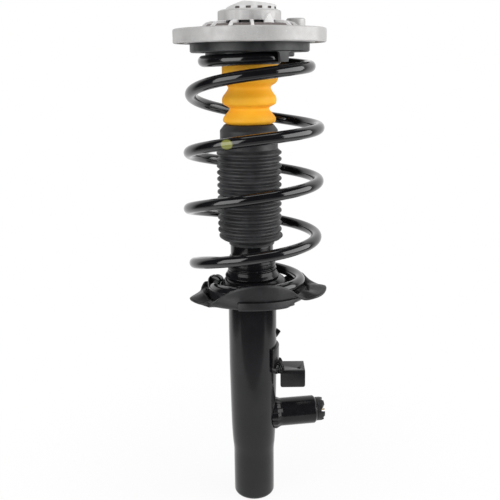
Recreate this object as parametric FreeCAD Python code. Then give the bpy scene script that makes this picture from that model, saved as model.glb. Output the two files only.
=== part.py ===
import FreeCAD, Part
import math
import os

# Front strut with a side damping valve, coil spring and top mount.
# Millimetres, +Z up along the strut axis, origin at the middle of the lower end face.
# The front of the strut faces -Y. Azimuths are in degrees about Z, 0 at +X, -90 at the front.

V = FreeCAD.Vector

# Clearances
FIT = 0.05            # between pieces pressed, welded or clipped together
RUN = 0.05            # radial, where one piece slides or turns in another
GAP = 0.3             # between bodies that only pass each other or rest on a stop

# Outer tube
CLAMP_R = 25.5        # lower end, gripped by the knuckle
BASE_ROUND = 6.0
CLAMP_TOP_Z = 58.0
BODY_R = 29.2         # main stretch above the swaged taper
BODY_FROM_Z = 180.0
NECK_R = 25.5         # above the spring seat
SHOULDER_Z = 296.0
SHOULDER_H = 7.0
TUBE_WALL = 2.6
BASE_THICK = 9.0
TUBE_TOP_Z = 355.0
CRIMP_THICK = 2.5
CRIMP_R = 18.0

# Damper inside the tube
BORE_R = 18.0
CYL_WALL = 1.5
CYL_FROM_Z = 14.5
VALVE_FOOT_H = 10.0
SLEEVE_R = 22.2       # intermediate tube that feeds the side valve
SLEEVE_WALL = 1.2
SLEEVE_FROM_Z = 66.0
SLEEVE_TO_Z = 300.0
SLEEVE_NECK_H = 7.0
ROD_R = 11.0
ROD_STUD_R = 7.0
ROD_TAIL_R = 6.0
PISTON_Z = 230.0
PISTON_H = 16.0
BAND_H = 10.0
DISC_STACK_H = 3.0
PISTON_NUT_H = 7.0
PISTON_NUT_AF = 18.0
REBOUND_H = 12.0
REBOUND_R = 16.5
GUIDE_H = 20.0
GUIDE_SPIGOT_H = 6.0
SEAL_H = 7.0
CAP_WALL = 1.5
CAP_SKIRT_H = 12.0

# Top mount, one aluminium casting
RIM_R = 85.5
RIM_TOP_Z = 578.0     # height of the strut at full droop, to the face that meets the body
RIM_H = 15.3
RIM_ROUND = 2.0
RIM_IN_R = 70.0
WEB_H = 5.0
HUB_IN_R = 31.0
HUB_OUT_R = 38.0
HUB_BOTTOM_Z = RIM_TOP_Z - 14.8
TURRET_R = 35.1
TURRET_TOP_Z = RIM_TOP_Z + 19.0
TURRET_ROUND = 2.5
RIB_COUNT = 14
RIB_PHASE = -86.5
RIB_R = 56.0
RIB_H = 8.0
RIB_THICK = 2.4
WINDOW_W = 12.4
WINDOW_SILL = 1.2
WINDOW_H = 5.0
ARROW_AZ = -60.0
ARROW_R = 44.0
ARROW_W = 9.6
ARROW_H = 14.0
ARROW_THICK = 3.0
BOSS_AZ = RIB_PHASE + 4.5 * 360.0 / RIB_COUNT
BOSS_AT_R = 61.0
BOSS_R = 11.0
BOSS_H = 12.5
BOLT_PCD = 154.0
BOLT_COUNT = 3
BOLT_AZ = -30.0
BOLT_HOLE_R = 3.4
BOLT_DEPTH = 11.0
POCKET_IN_R = 73.0
POCKET_OUT_R = 81.5
POCKET_DEPTH = 3.0

# Mount cap, a slanted lid with a ring of small windows
LID_R = 28.0
LID_X = 1.9
LID_WALL = 2.0
LID_FLANGE_R = 32.2
LID_SKIRT_H = 2.5
LID_LEFT_Z = TURRET_TOP_Z + 2.4
LID_PEAK_Z = TURRET_TOP_Z + 10.4
LID_RIGHT_Z = TURRET_TOP_Z + 5.8
LID_PEAK_X = -6.8
LID_WINDOW_W = 7.0
LID_WINDOW_H = 2.6

# Rubber bush and its steel sleeve
BUSH_BOTTOM_Z = RIM_TOP_Z + 1.0
BUSH_H = 15.0
BUSH_GROOVE = 5.0
BUSH_IN_R = 14.0
SLEEVE_TOP_H = 9.5
SLEEVE_FOOT_H = 6.0
ROD_SHOULDER_Z = BUSH_BOTTOM_Z - SLEEVE_FOOT_H
ROD_TIP_Z = BUSH_BOTTOM_Z + 20.0
NUT_AF = 22.0
NUT_H = 9.0

# Bearing between the spring seat and the mount
RACE_R = 51.0
RACE_HALF_W = 5.2
BALL_R = 2.75
BALL_COUNT = 18
BALL_Z = RIM_TOP_Z - 10.6
CAGE_H = 2.6
CAGE_HALF_W = 4.2

# Upper spring seat
PAD_R = 67.0
PAD_IN_R = 40.0
PAD_TOP_Z = BALL_Z - 8.0
PAD_H = 6.8
PAD_BOTTOM_Z = PAD_TOP_Z - PAD_H
PAD_CHAMFER = 2.5
PAD_RING_IN_R = PAD_IN_R
PAD_RING_OUT_R = 50.0
PAD_RING_H = 5.0
TAB_AZ = -56.5
TAB_W = 12.2
TAB_FLARE = 3.5
TAB_THICK = 3.4
TAB_BOTTOM_Z = PAD_BOTTOM_Z - 10.6
CARRIER_THICK = 2.4
CARRIER_R = 64.0

# Coil spring: barrel with both ends drawn in, ends tilted towards the front
WIRE_R = 6.4
COIL_R = 74.8
TOP_COIL_R = 50.0
LOW_COIL_R = 49.3
COIL_TURNS = 5.40
TOP_END_AZ = -58.0
TOP_END_Z = PAD_BOTTOM_Z - WIRE_R - 0.2     # middle of the wire at the top end
END_PITCH = 9.0
COIL_X = 3.5
COIL_SAG = 4.9        # the second coil hangs a little low at its side
COIL_BOW = 2.4        # the coil's axis bows to the left in its lower half
COIL_TILT = 0.107
COIL_LIE = 6.0        # how much longer the first turn stays up against its pad
TOP_GROW = (-0.35, 2.22)     # turns from the top end: where the coil widens, and over how much
LOW_SHRINK = (4.13, 0.97)    # and where it draws in again
TOP_RISE = (0.27, 1.20)      # turns from the top end: where the pitch opens, and over how much
LOW_RISE = (4.12, 1.19)      # and where it closes again
COIL_STEPS_PER_TURN = 4

# Lower spring seat, a pressed dish welded round the tube
DISH_THICK = 3.0
DISH_TOP_Z = 292.5
DISH_FLOOR_Z = 268.0
DISH_FLOOR_R = LOW_COIL_R + WIRE_R + 1.4
HUB_FOOT_R = DISH_FLOOR_R - 11.1     # where the hub's wall meets the floor
# Rim of the dish: azimuth, radius, height
DISH_RIM = [
    (2, 88, 279), (-11, 90, 279), (-22, 84, 277.5), (-30, 70, 275), (-45, 61.2, 288), (-64, 60.5, 296),
    (-84, 60.5, 297.8), (-101, 60.5, 295.5), (-112, 60.5, 290.5), (-124, 60.5, 283), (-141, 61.5, 270),
    (-152, 70, 268.5), (-165, 78, 268.5), (-177, 74, 270), (-188, 62, 275.5), (-196, 59.5, 281),
    (-208, 60, 272), (-225, 61, 267.5), (-255, 62, 267), (-288, 63, 268), (-305, 64, 272.5),
    (-320, 66.5, 283), (-334, 69, 287), (-347, 75, 283),
]

# Stiffener under the dish
STAY_THICK = 3.0
STAY_R = 61.0
STAY_FOOT_H = 5.5
STAY_LIP_IN_R = 63.6
STAY_LIP_THICK = 2.4
STAY_LIP_H = 9.3
STAY_FROM_AZ = -138.0
STAY_TO_AZ = -36.0
LIP_FROM_AZ = -104.0
LIP_TO_AZ = -42.0

# Collar over the tube's shoulder
COLLAR_TOP_Z = 318.0
COLLAR_BOTTOM_Z = 293.0
COLLAR_FLARE_R = BODY_R + 3.1
COLLAR_R = NECK_R + 1.9

# Lower spring pad
LOW_PAD_H = 12.5
LOW_PAD_FLOOR = 3.6   # rubber under the wire's end
LOW_PAD_FROM_AZ = -12.0
LOW_PAD_TO_AZ = -206.0
HOOK_R = 8.6
HOOK_BACK = 5.0

# Bump stop on the rod
STOP_CUP_Z = HUB_BOTTOM_Z - 3.2
STOP_CUP_THICK = 3.0
STOP_CUP_R = 35.0
STOP_CUP_H = 9.0
STOP_BORE_R = 11.3
STOP_H = 86.0
STOP_BOTTOM_Z = STOP_CUP_Z - STOP_H

# Dust boot
RIB_N = 14
BOOT_RIDGE_R = 40.7
BOOT_VALLEY_R = 36.6
BOOT_BORE_R = 34.6
BOOT_COLLAR_R = 34.9
BOOT_NECK_R = 27.0
BOOT_BOTTOM_Z = 333.0
BOOT_FOOT_H = 6.4
BOOT_COLLAR_H = 28.6
BOOT_MOUTH_R = 24.0
BOOT_WALL = 1.6

# Side valve
VALVE_Z = 108.5
VALVE_AZ = 9.0
VALVE_R = 17.3
VALVE_WALL = 2.3
VALVE_END = 78.5
VALVE_ROOT = BODY_R + 1.8     # where the valve's body starts along its axis
VALVE_PORT_R = 10.0
WELD_LEG = 3.2
SPIGOT_R = 7.0
SPOOL_R = 3.0
SPOOL_STROKE = 2.0
COIL_BORE_R = 6.8
PLUG_R = 13.9
PLUG_BORE_R = 10.0
PLUG_END = 90.0
PLUG_TEETH = 6
PIN_R = 0.9
PIN_PITCH = 6.0

# Hose bracket, its saddle and the small locating tooth
BRACKET_THICK = 3.0
BRACKET_X1 = 64.2
BRACKET_FRONT_Y = -13.0
BRACKET_BACK_Y = 18.5
BRACKET_TOP_Z = 172.6
BRACKET_H = 21.5
BRACKET_FACE_X0 = 33.6
BRACKET_ROUND = 3.0
BRACKET_HOLE_R = 2.2
BRACKET_HOLE = (57.0, -4.0)
SADDLE_THICK = 3.2
SADDLE_FROM_Z = BRACKET_TOP_Z + 7.4
SADDLE_TO_Z = BRACKET_TOP_Z + 31.4
SADDLE_FROM_AZ = -42.0
SADDLE_TO_AZ = 34.0
TOOTH_AZ = 6.0
TOOTH_Z = 218.0
TOOTH_H = 10.0
TOOTH_REACH = 5.4


def tube_inner_r(outer_r):
    return outer_r - TUBE_WALL


def smooth(t):
    t = min(max(t, 0.0), 1.0)
    return t * t * (3.0 - 2.0 * t)


def polar(radius, azimuth, z):
    a = math.radians(azimuth)
    return V(radius * math.cos(a), radius * math.sin(a), z)


def polygon_face(points):
    """Face in the XZ plane from (radius, height) corners."""
    corners = [V(r, 0, z) for r, z in points]
    return Part.Face(Part.makePolygon(corners + corners[:1]))


def turned(points, angle=360.0, start=0.0):
    """Solid of revolution about Z from (radius, height) corners, from the start azimuth."""
    solid = polygon_face(points).revolve(V(0, 0, 0), V(0, 0, 1), angle)
    solid.rotate(V(0, 0, 0), V(0, 0, 1), start)
    return solid


def ring(r_in, r_out, z0, z1):
    return turned([(r_in, z0), (r_out, z0), (r_out, z1), (r_in, z1)])


def rod(radius, z0, z1):
    return Part.makeCylinder(radius, z1 - z0, V(0, 0, z0))


def on_valve_axis(shape):
    """Lays a shape built along Z on the axis of the side valve."""
    shape.rotate(V(0, 0, 0), V(0, 1, 0), 90)
    shape.rotate(V(0, 0, 0), V(0, 0, 1), VALVE_AZ)
    shape.translate(V(0, 0, VALVE_Z))
    return shape


def hex_nut(across_flats, bore_r, z0, height):
    r = across_flats / math.sqrt(3)
    corners = [polar(r, 60 * i, z0) for i in range(6)]
    prism = Part.Face(Part.makePolygon(corners + corners[:1])).extrude(V(0, 0, height))
    chamfer = Part.makeCone(r + height * 0.9, r * 0.9, height, V(0, 0, z0))
    return prism.common(chamfer).cut(rod(bore_r, z0 - 1, z0 + height + 1))


def fillet_at(shape, radius, wanted):
    edges = [e for e in shape.Edges if wanted(e)]
    return shape.makeFillet(radius, edges)


def is_circle(edge, radius, z):
    curve = edge.Curve
    if not hasattr(curve, "Radius"):
        return False
    return abs(curve.Radius - radius) < 1e-3 and abs(curve.Center.z - z) < 1e-3


# Outer tube

SWAGE_STEP = BODY_R - CLAMP_R
SWAGE = [
    (CLAMP_R, CLAMP_TOP_Z + 4), (CLAMP_R + 0.35 * SWAGE_STEP, 77), (CLAMP_R + 0.65 * SWAGE_STEP, 100),
    (CLAMP_R + 0.865 * SWAGE_STEP, 145), (BODY_R, BODY_FROM_Z),
]


def tube_profile(grow, z_base, corner):
    """Outline of the tube wall as (edges), grown outwards, from the base up to the shoulder."""
    r0 = CLAMP_R + grow
    swage = [V(r + grow, 0, z) for r, z in SWAGE]
    curve = Part.BSplineCurve()
    curve.interpolate(Points=swage, InitialTangent=V(0, 0, 1), FinalTangent=V(0, 0, 1))
    edges = []
    if corner > 0:
        mid = V(r0 - corner * (1 - math.sqrt(0.5)), 0, z_base + corner * (1 - math.sqrt(0.5)))
        start = V(r0 - corner, 0, z_base)
        end = V(r0, 0, z_base + corner)
        edges.append(Part.LineSegment(V(0, 0, z_base), start).toShape())
        edges.append(Part.Arc(start, mid, end).toShape())
        edges.append(Part.LineSegment(end, swage[0]).toShape())
    else:
        edges.append(Part.LineSegment(V(0, 0, z_base), V(r0, 0, z_base)).toShape())
        edges.append(Part.LineSegment(V(r0, 0, z_base), swage[0]).toShape())
    edges.append(curve.toShape())
    upper = [
        swage[-1],
        V(BODY_R + grow, 0, SHOULDER_Z),
        V(NECK_R + grow, 0, SHOULDER_Z + SHOULDER_H),
        V(NECK_R + grow, 0, TUBE_TOP_Z),
        V(0, 0, TUBE_TOP_Z),
        V(0, 0, z_base),
    ]
    for a, b in zip(upper, upper[1:]):
        edges.append(Part.LineSegment(a, b).toShape())
    return Part.Wire(edges)


def tube_volume(grow=0.0, z_base=0.0, corner=0.0):
    return Part.Face(tube_profile(grow, z_base, corner)).revolve(V(0, 0, 0), V(0, 0, 1), 360)


def strut_tube():
    outside = tube_volume(0.0, 0.0, BASE_ROUND)
    inside = tube_volume(-TUBE_WALL, BASE_THICK)
    inside = inside.cut(ring(CRIMP_R, NECK_R + 5, TUBE_TOP_Z - CRIMP_THICK, TUBE_TOP_Z + 1))
    port = on_valve_axis(rod(VALVE_PORT_R, 0, BODY_R + 10))
    return outside.cut(inside).cut(port)


# Damper

GUIDE_TOP_Z = TUBE_TOP_Z - CRIMP_THICK - FIT - SEAL_H
GUIDE_Z = GUIDE_TOP_Z - GUIDE_H
CYL_TO_Z = GUIDE_Z + GUIDE_SPIGOT_H - FIT


def base_valve():
    spigot = rod(BORE_R - FIT, CYL_FROM_Z - FIT, CYL_FROM_Z + VALVE_FOOT_H)
    body = rod(BORE_R + CYL_WALL, BASE_THICK, CYL_FROM_Z - FIT).fuse(spigot).removeSplitter()
    for i in range(6):
        hole = rod(1.6, BASE_THICK + 2, CYL_FROM_Z + VALVE_FOOT_H + 1)
        hole.translate(polar(11.0, 60 * i, 0))
        body = body.cut(hole)
    return body


def inner_cylinder():
    return ring(BORE_R, BORE_R + CYL_WALL, CYL_FROM_Z, CYL_TO_Z)


def intermediate_tube():
    r_in = SLEEVE_R - SLEEVE_WALL
    seat = BORE_R + CYL_WALL + FIT
    outer = [
        (seat, SLEEVE_FROM_Z), (seat + SLEEVE_WALL, SLEEVE_FROM_Z),
        (SLEEVE_R, SLEEVE_FROM_Z + SLEEVE_NECK_H), (SLEEVE_R, SLEEVE_TO_Z - SLEEVE_NECK_H),
        (seat + SLEEVE_WALL, SLEEVE_TO_Z), (seat, SLEEVE_TO_Z),
        (r_in, SLEEVE_TO_Z - SLEEVE_NECK_H), (r_in, SLEEVE_FROM_Z + SLEEVE_NECK_H),
    ]
    port = on_valve_axis(rod(SPIGOT_R - 2, 0, SLEEVE_R + 5))
    front = on_valve_axis(rod(SPIGOT_R - 2, 0, SLEEVE_R - 5))
    return turned(outer).cut(port.cut(front))


def rod_guide():
    r_tube = tube_inner_r(NECK_R) - FIT
    r_cyl_in = BORE_R - FIT
    spigot_top = GUIDE_Z + GUIDE_SPIGOT_H
    return turned([
        (ROD_R + RUN, GUIDE_Z), (r_cyl_in, GUIDE_Z), (r_cyl_in, spigot_top),
        (r_tube, spigot_top), (r_tube, GUIDE_TOP_Z), (ROD_R + 4, GUIDE_TOP_Z),
        (ROD_R + 4, GUIDE_TOP_Z - 3), (ROD_R + RUN, GUIDE_TOP_Z - 3),
    ])


def rod_seal():
    z0 = GUIDE_TOP_Z + FIT
    z1 = TUBE_TOP_Z - CRIMP_THICK - FIT
    r_out = tube_inner_r(NECK_R) - FIT
    return turned([
        (ROD_R + RUN, z0 - 2), (ROD_R + 3.8, z0 - 2), (ROD_R + 3.8, z0), (r_out, z0), (r_out, z1),
        (CRIMP_R - FIT, z1), (ROD_R + 4, z1 + 1.5), (ROD_R + RUN, z1 + 1.5),
        (ROD_R + RUN, z1 - 1), (ROD_R + 2, z1 - 2.5), (ROD_R + RUN, z1 - 4),
    ])


def tube_cap():
    r_in = NECK_R + FIT
    z_top = TUBE_TOP_Z + FIT
    shell = turned([
        (r_in, z_top - CAP_SKIRT_H), (r_in + CAP_WALL, z_top - CAP_SKIRT_H),
        (r_in + CAP_WALL, z_top + CAP_WALL - 1.5), (r_in - 0.5, z_top + CAP_WALL + 1.0),
        (ROD_R + 3, z_top + CAP_WALL + 1.0), (ROD_R + 3, z_top + 1.0),
        (r_in - 1.5, z_top + 1.0), (r_in - 1.5, z_top), (r_in, z_top),
    ])
    return shell


CAP_TOP_Z = TUBE_TOP_Z + FIT + CAP_WALL + 1.0


def piston_rod():
    tail_z = PISTON_Z - DISC_STACK_H - PISTON_NUT_H - 1.0
    shoulder_z = PISTON_Z + PISTON_H + DISC_STACK_H + 2 * FIT
    cone = ROD_R - ROD_STUD_R
    return turned([
        (0, tail_z), (ROD_TAIL_R, tail_z), (ROD_TAIL_R, shoulder_z), (ROD_R, shoulder_z),
        (ROD_R, ROD_SHOULDER_Z - cone * 0.5), (ROD_R - 1.5, ROD_SHOULDER_Z),
        (ROD_STUD_R, ROD_SHOULDER_Z), (ROD_STUD_R, ROD_TIP_Z - 1), (ROD_STUD_R - 1, ROD_TIP_Z),
        (0, ROD_TIP_Z),
    ])


def piston():
    r_in = ROD_TAIL_R + FIT
    r_out = BORE_R - GAP
    band_in = BORE_R - 1.8
    b0 = PISTON_Z + (PISTON_H - BAND_H) / 2
    b1 = b0 + BAND_H
    z1 = PISTON_Z + PISTON_H
    body = turned([
        (r_in, PISTON_Z), (r_out, PISTON_Z), (r_out, b0), (band_in, b0), (band_in, b1),
        (r_out, b1), (r_out, z1), (r_in, z1),
    ])
    for i in range(8):
        hole = rod(1.7, PISTON_Z - 1, z1 + 1)
        hole.translate(polar(11.5, 45 * i, 0))
        body = body.cut(hole)
    return body


def piston_band():
    b0 = PISTON_Z + (PISTON_H - BAND_H) / 2 + FIT
    return ring(BORE_R - 1.8 + FIT, BORE_R - RUN, b0, b0 + BAND_H - 2 * FIT)


def valve_discs(z0, up):
    """Stack of spring discs, each smaller than the last away from the piston."""
    r_in = ROD_TAIL_R + FIT
    step = DISC_STACK_H / 3
    radii = [14.5, 12.5, 10.5]
    corners = [(r_in, z0)]
    z = z0
    for r in radii:
        corners += [(r, z), (r, z + up * step)]
        z += up * step
    corners.append((r_in, z))
    return turned(corners)


def piston_nut():
    z0 = PISTON_Z - DISC_STACK_H - 2 * FIT - PISTON_NUT_H
    return hex_nut(PISTON_NUT_AF, ROD_TAIL_R + FIT, z0, PISTON_NUT_H)


def rebound_stop():
    z1 = GUIDE_Z - GAP
    r_in = ROD_R + FIT
    return turned([
        (r_in, z1 - REBOUND_H), (REBOUND_R - 2, z1 - REBOUND_H), (REBOUND_R, z1 - REBOUND_H + 2),
        (REBOUND_R, z1 - 1), (REBOUND_R - 1, z1), (r_in, z1),
    ])


# Coil spring

def coil_point(s):
    """Middle of the wire after s turns down from the top end."""
    grown = smooth((s - TOP_GROW[0]) / TOP_GROW[1])
    shrunk = smooth((s - LOW_SHRINK[0]) / LOW_SHRINK[1])
    r = TOP_COIL_R + (COIL_R - TOP_COIL_R) * grown - (COIL_R - LOW_COIL_R) * shrunk
    a = math.radians(TOP_END_AZ) - 2 * math.pi * s
    x = r * math.cos(a) + COIL_X - COIL_BOW * bump(s, 3.55, 0.8)
    y = r * math.sin(a)
    lean = COIL_TILT * smooth((s - 0.4) / 0.6)
    return V(x, y, TOP_END_Z - coil_drop(s) + COIL_LIE * bump(s, 0.68, 0.42) - lean * y)


def bump(s, middle, half):
    """A smooth hump of height 1."""
    t = min(abs(s - middle) / half, 1.0)
    return (1.0 - t * t) ** 2


def ramp_area(s, start, length):
    """Area under a smooth step that rises from start over length, up to s."""
    t = min(max((s - start) / length, 0.0), 1.0)
    past = max(s - start - length, 0.0)
    return length * (t ** 3 - t ** 4 / 2) + past


def steep_turns(s):
    """How many of the first s turns run at the full pitch: none at either end, all between."""
    return ramp_area(s, *TOP_RISE) - ramp_area(s, *LOW_RISE)


def coil_drop(s):
    """Fall of the coil over s turns: slow at both ends, one steady pitch between."""
    return END_PITCH * s + EXTRA_PITCH * steep_turns(s) + COIL_SAG * bump(s, 1.84, 0.62)


LOW_END_Z = DISH_FLOOR_Z + LOW_PAD_FLOOR + WIRE_R
EXTRA_PITCH = (TOP_END_Z - LOW_END_Z - END_PITCH * COIL_TURNS) / steep_turns(COIL_TURNS)


def coil_tangent(s):
    d = 1e-4
    t = coil_point(s + d) - coil_point(s - d)
    return t.normalize()


def arc_edge(a, corner, b):
    """Arc from a to b, tangent to a-corner and corner-b, which are as long as each other."""
    m = (a + b) * 0.5
    half_chord = a.distanceToPoint(m)
    side = a.distanceToPoint(corner)
    mid = corner + (m - corner) * (1.0 / (1.0 + half_chord / side))
    return Part.Arc(a, mid, b).toShape()


def biarc(p0, t0, p1, t1):
    """Two arcs that meet in a common tangent, from p0 along t0 to p1 along t1."""
    v = p1 - p0
    t = t0 + t1
    k = 2.0 * (1.0 - t0.dot(t1))
    vt = v.dot(t)
    d = (-vt + math.sqrt(vt * vt + k * v.dot(v))) / k
    c0 = p0 + t0 * d
    c1 = p1 - t1 * d
    join = (c0 + c1) * 0.5
    return [arc_edge(p0, c0, join), arc_edge(join, c1, p1)]


def coil_path(s0, s1):
    count = max(1, math.ceil((s1 - s0) * COIL_STEPS_PER_TURN))
    marks = [s0 + (s1 - s0) * i / count for i in range(count + 1)]
    edges = []
    for a, b in zip(marks, marks[1:]):
        edges += biarc(coil_point(a), coil_tangent(a), coil_point(b), coil_tangent(b))
    return Part.Wire(edges)


def wire_solid(radius, s0=0.0, s1=COIL_TURNS):
    circle = Part.Circle(coil_point(s0), coil_tangent(s0), radius)
    profile = Part.Wire([circle.toShape()])
    return coil_path(s0, s1).makePipeShell([profile], True, False)


def report_coil():
    """Prints the least gap of the wire to itself, the wire's length and the tightest turn."""
    n = 720
    points = [coil_point(COIL_TURNS * i / n) for i in range(n + 1)]
    per_turn = int(n / COIL_TURNS)
    least = 1e9
    for i in range(n + 1):
        for j in range(i + int(per_turn * 0.6), n + 1):
            least = min(least, points[i].distanceToPoint(points[j]))
    length = sum(a.distanceToPoint(b) for a, b in zip(points, points[1:]))
    print("coil spring: least gap to itself %.2f mm" % (least - 2 * WIRE_R))
    print("coil spring: wire length %.0f mm, tightest radius %.1f mm" % (length, LOW_COIL_R))


# Upper spring seat

def upper_isolator():
    body = turned([
        (PAD_IN_R, PAD_BOTTOM_Z), (PAD_R - PAD_CHAMFER, PAD_BOTTOM_Z),
        (PAD_R, PAD_BOTTOM_Z + PAD_CHAMFER), (PAD_R, PAD_TOP_Z), (PAD_IN_R, PAD_TOP_Z),
    ])
    seat = ring(PAD_RING_IN_R, PAD_RING_OUT_R, PAD_BOTTOM_Z - PAD_RING_H, PAD_BOTTOM_Z)
    body = body.fuse(seat).removeSplitter()
    return body.fuse(isolator_tab()).removeSplitter().cut(wire_solid(WIRE_R + GAP, -0.02, 1.0))


def isolator_tab():
    """Finger that hangs in front of the spring's top end, with a flared root."""
    half = TAB_W / 2
    wide = half + TAB_FLARE
    top = PAD_BOTTOM_Z + 1.0
    root = PAD_BOTTOM_Z - TAB_FLARE
    q = TAB_FLARE * (1 - math.sqrt(0.5))
    left = Part.Arc(V(-wide, 0, PAD_BOTTOM_Z), V(-half - q, 0, PAD_BOTTOM_Z - q), V(-half, 0, root))
    right = Part.Arc(V(half, 0, root), V(half + q, 0, PAD_BOTTOM_Z - q), V(wide, 0, PAD_BOTTOM_Z))
    corners = [
        V(wide, 0, top), V(-wide, 0, top), V(-wide, 0, PAD_BOTTOM_Z),
        V(-half, 0, root), V(-half + 0.6, 0, TAB_BOTTOM_Z), V(half - 0.6, 0, TAB_BOTTOM_Z),
        V(half, 0, root), V(wide, 0, PAD_BOTTOM_Z),
    ]
    lines = [(0, 1), (1, 2), (3, 4), (4, 5), (5, 6), (7, 0)]
    edges = [Part.LineSegment(corners[a], corners[b]).toShape() for a, b in lines]
    edges += [left.toShape(), right.toShape()]
    face = Part.Face(Part.Wire(Part.__sortEdges__(edges)))
    slab = face.extrude(V(0, PAD_R, 0))
    slab.rotate(V(0, 0, 0), V(0, 0, 1), TAB_AZ - 90)
    shell = ring(PAD_R - TAB_THICK - 1.0, PAD_R - 1.0, TAB_BOTTOM_Z - 1, top)
    return slab.common(shell)


def seat_carrier():
    z0 = PAD_TOP_Z + FIT
    z1 = z0 + CARRIER_THICK
    r_in = PAD_IN_R + 1.0
    return turned([
        (r_in, z0), (CARRIER_R, z0), (CARRIER_R, z1), (RACE_R + RACE_HALF_W + FIT + 1.5, z1),
        (RACE_R + RACE_HALF_W + FIT + 1.5, z1 + 2.0), (RACE_R + RACE_HALF_W + FIT, z1 + 2.0),
        (RACE_R + RACE_HALF_W + FIT, z1), (r_in, z1),
    ])


def race(z0, z1):
    """Bearing race with a groove for the balls."""
    body = ring(RACE_R - RACE_HALF_W, RACE_R + RACE_HALF_W, z0, z1)
    groove = Part.makeTorus(RACE_R, BALL_R + 0.1, V(0, 0, BALL_Z), V(0, 0, 1))
    return body.cut(groove)


def lower_race():
    z0 = PAD_TOP_Z + CARRIER_THICK + 2 * FIT
    return race(z0, BALL_Z - CAGE_H / 2 - GAP)


def upper_race():
    return race(BALL_Z + CAGE_H / 2 + GAP, RIM_TOP_Z - WEB_H - FIT)


def ball_centres():
    return [polar(RACE_R, 360.0 * i / BALL_COUNT, BALL_Z) for i in range(BALL_COUNT)]


def bearing_balls():
    return Part.Compound([Part.makeSphere(BALL_R, c) for c in ball_centres()])


def bearing_cage():
    r0 = RACE_R - CAGE_HALF_W
    body = ring(r0, RACE_R + CAGE_HALF_W, BALL_Z - CAGE_H / 2, BALL_Z + CAGE_H / 2)
    for c in ball_centres():
        body = body.cut(Part.makeCylinder(BALL_R + 0.1, 2 * CAGE_H, c - V(0, 0, CAGE_H)))
    return body


# Top mount

def mount_housing():
    z1 = RIM_TOP_Z
    z0 = z1 - RIM_H
    web = z1 - WEB_H
    body = turned([
        (HUB_IN_R, HUB_BOTTOM_Z), (HUB_OUT_R, HUB_BOTTOM_Z), (HUB_OUT_R, web),
        (RIM_IN_R, web), (RIM_IN_R, z0), (RIM_R, z0), (RIM_R, z1), (TURRET_R, z1),
        (TURRET_R, TURRET_TOP_Z), (HUB_IN_R, TURRET_TOP_Z),
    ])
    rim_edges = [e for e in body.Edges if is_circle(e, RIM_R, z0) or is_circle(e, RIM_R, z1)]
    body = body.makeFillet(RIM_ROUND, rim_edges)
    body = fillet_at(body, TURRET_ROUND, lambda e: is_circle(e, TURRET_R, TURRET_TOP_Z))
    body = body.cut(ring(POCKET_IN_R, POCKET_OUT_R, z0 - 1, z0 + POCKET_DEPTH))
    body = body.fuse(mount_ribs() + [mount_boss(), mount_arrow()]).removeSplitter()
    body = body.cut(turret_windows())
    return body.cut(mount_holes())


def mount_ribs():
    """Fins from the turret out over the web, and their roots' spacing."""
    ribs = []
    for i in range(RIB_COUNT):
        root, top = RIM_TOP_Z - 1, RIM_TOP_Z + RIB_H
        fin = polygon_face([
            (TURRET_R - 1, root), (RIB_R, root), (RIB_R, RIM_TOP_Z),
            (TURRET_R + 4, top), (TURRET_R - 1, top),
        ]).extrude(V(0, RIB_THICK, 0))
        fin.translate(V(0, -RIB_THICK / 2, 0))
        fin.rotate(V(0, 0, 0), V(0, 0, 1), RIB_PHASE + 360.0 * i / RIB_COUNT)
        ribs.append(fin)
    return ribs


def turret_windows():
    windows = []
    for i in range(RIB_COUNT):
        box = Part.makeBox(12, WINDOW_W, WINDOW_H, V(HUB_IN_R - 2, -WINDOW_W / 2, RIM_TOP_Z + WINDOW_SILL))
        box.rotate(V(0, 0, 0), V(0, 0, 1), RIB_PHASE + 360.0 * (i + 0.5) / RIB_COUNT)
        windows.append(box)
    return windows


def mount_boss():
    at = polar(BOSS_AT_R, BOSS_AZ, RIM_TOP_Z - 1)
    boss = Part.makeCylinder(BOSS_R, BOSS_H + 1, at)
    return fillet_at(boss, 2.5, lambda e: is_circle(e, BOSS_R, RIM_TOP_Z + BOSS_H))


def mount_arrow():
    """Pointed fin that marks which way round the mount goes."""
    half = ARROW_W / 2
    z0 = RIM_TOP_Z - 1
    face = Part.Face(Part.makePolygon([
        V(0, -half, z0), V(0, half, z0), V(0, half, z0 + 3), V(0, 0, z0 + ARROW_H + 1),
        V(0, -half, z0 + 3), V(0, -half, z0),
    ]))
    fin = face.extrude(V(ARROW_THICK, 0, 0))
    fin.translate(V(ARROW_R, 0, 0))
    fin.rotate(V(0, 0, 0), V(0, 0, 1), ARROW_AZ)
    return fin


def mount_holes():
    """Three blind tapped holes for the bolts from the body, and a pilot in the boss."""
    holes = []
    for i in range(BOLT_COUNT):
        at = polar(BOLT_PCD / 2, BOLT_AZ + 360.0 * i / BOLT_COUNT, RIM_TOP_Z - BOLT_DEPTH)
        holes.append(Part.makeCylinder(BOLT_HOLE_R, BOLT_DEPTH + 1, at))
    return holes


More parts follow.
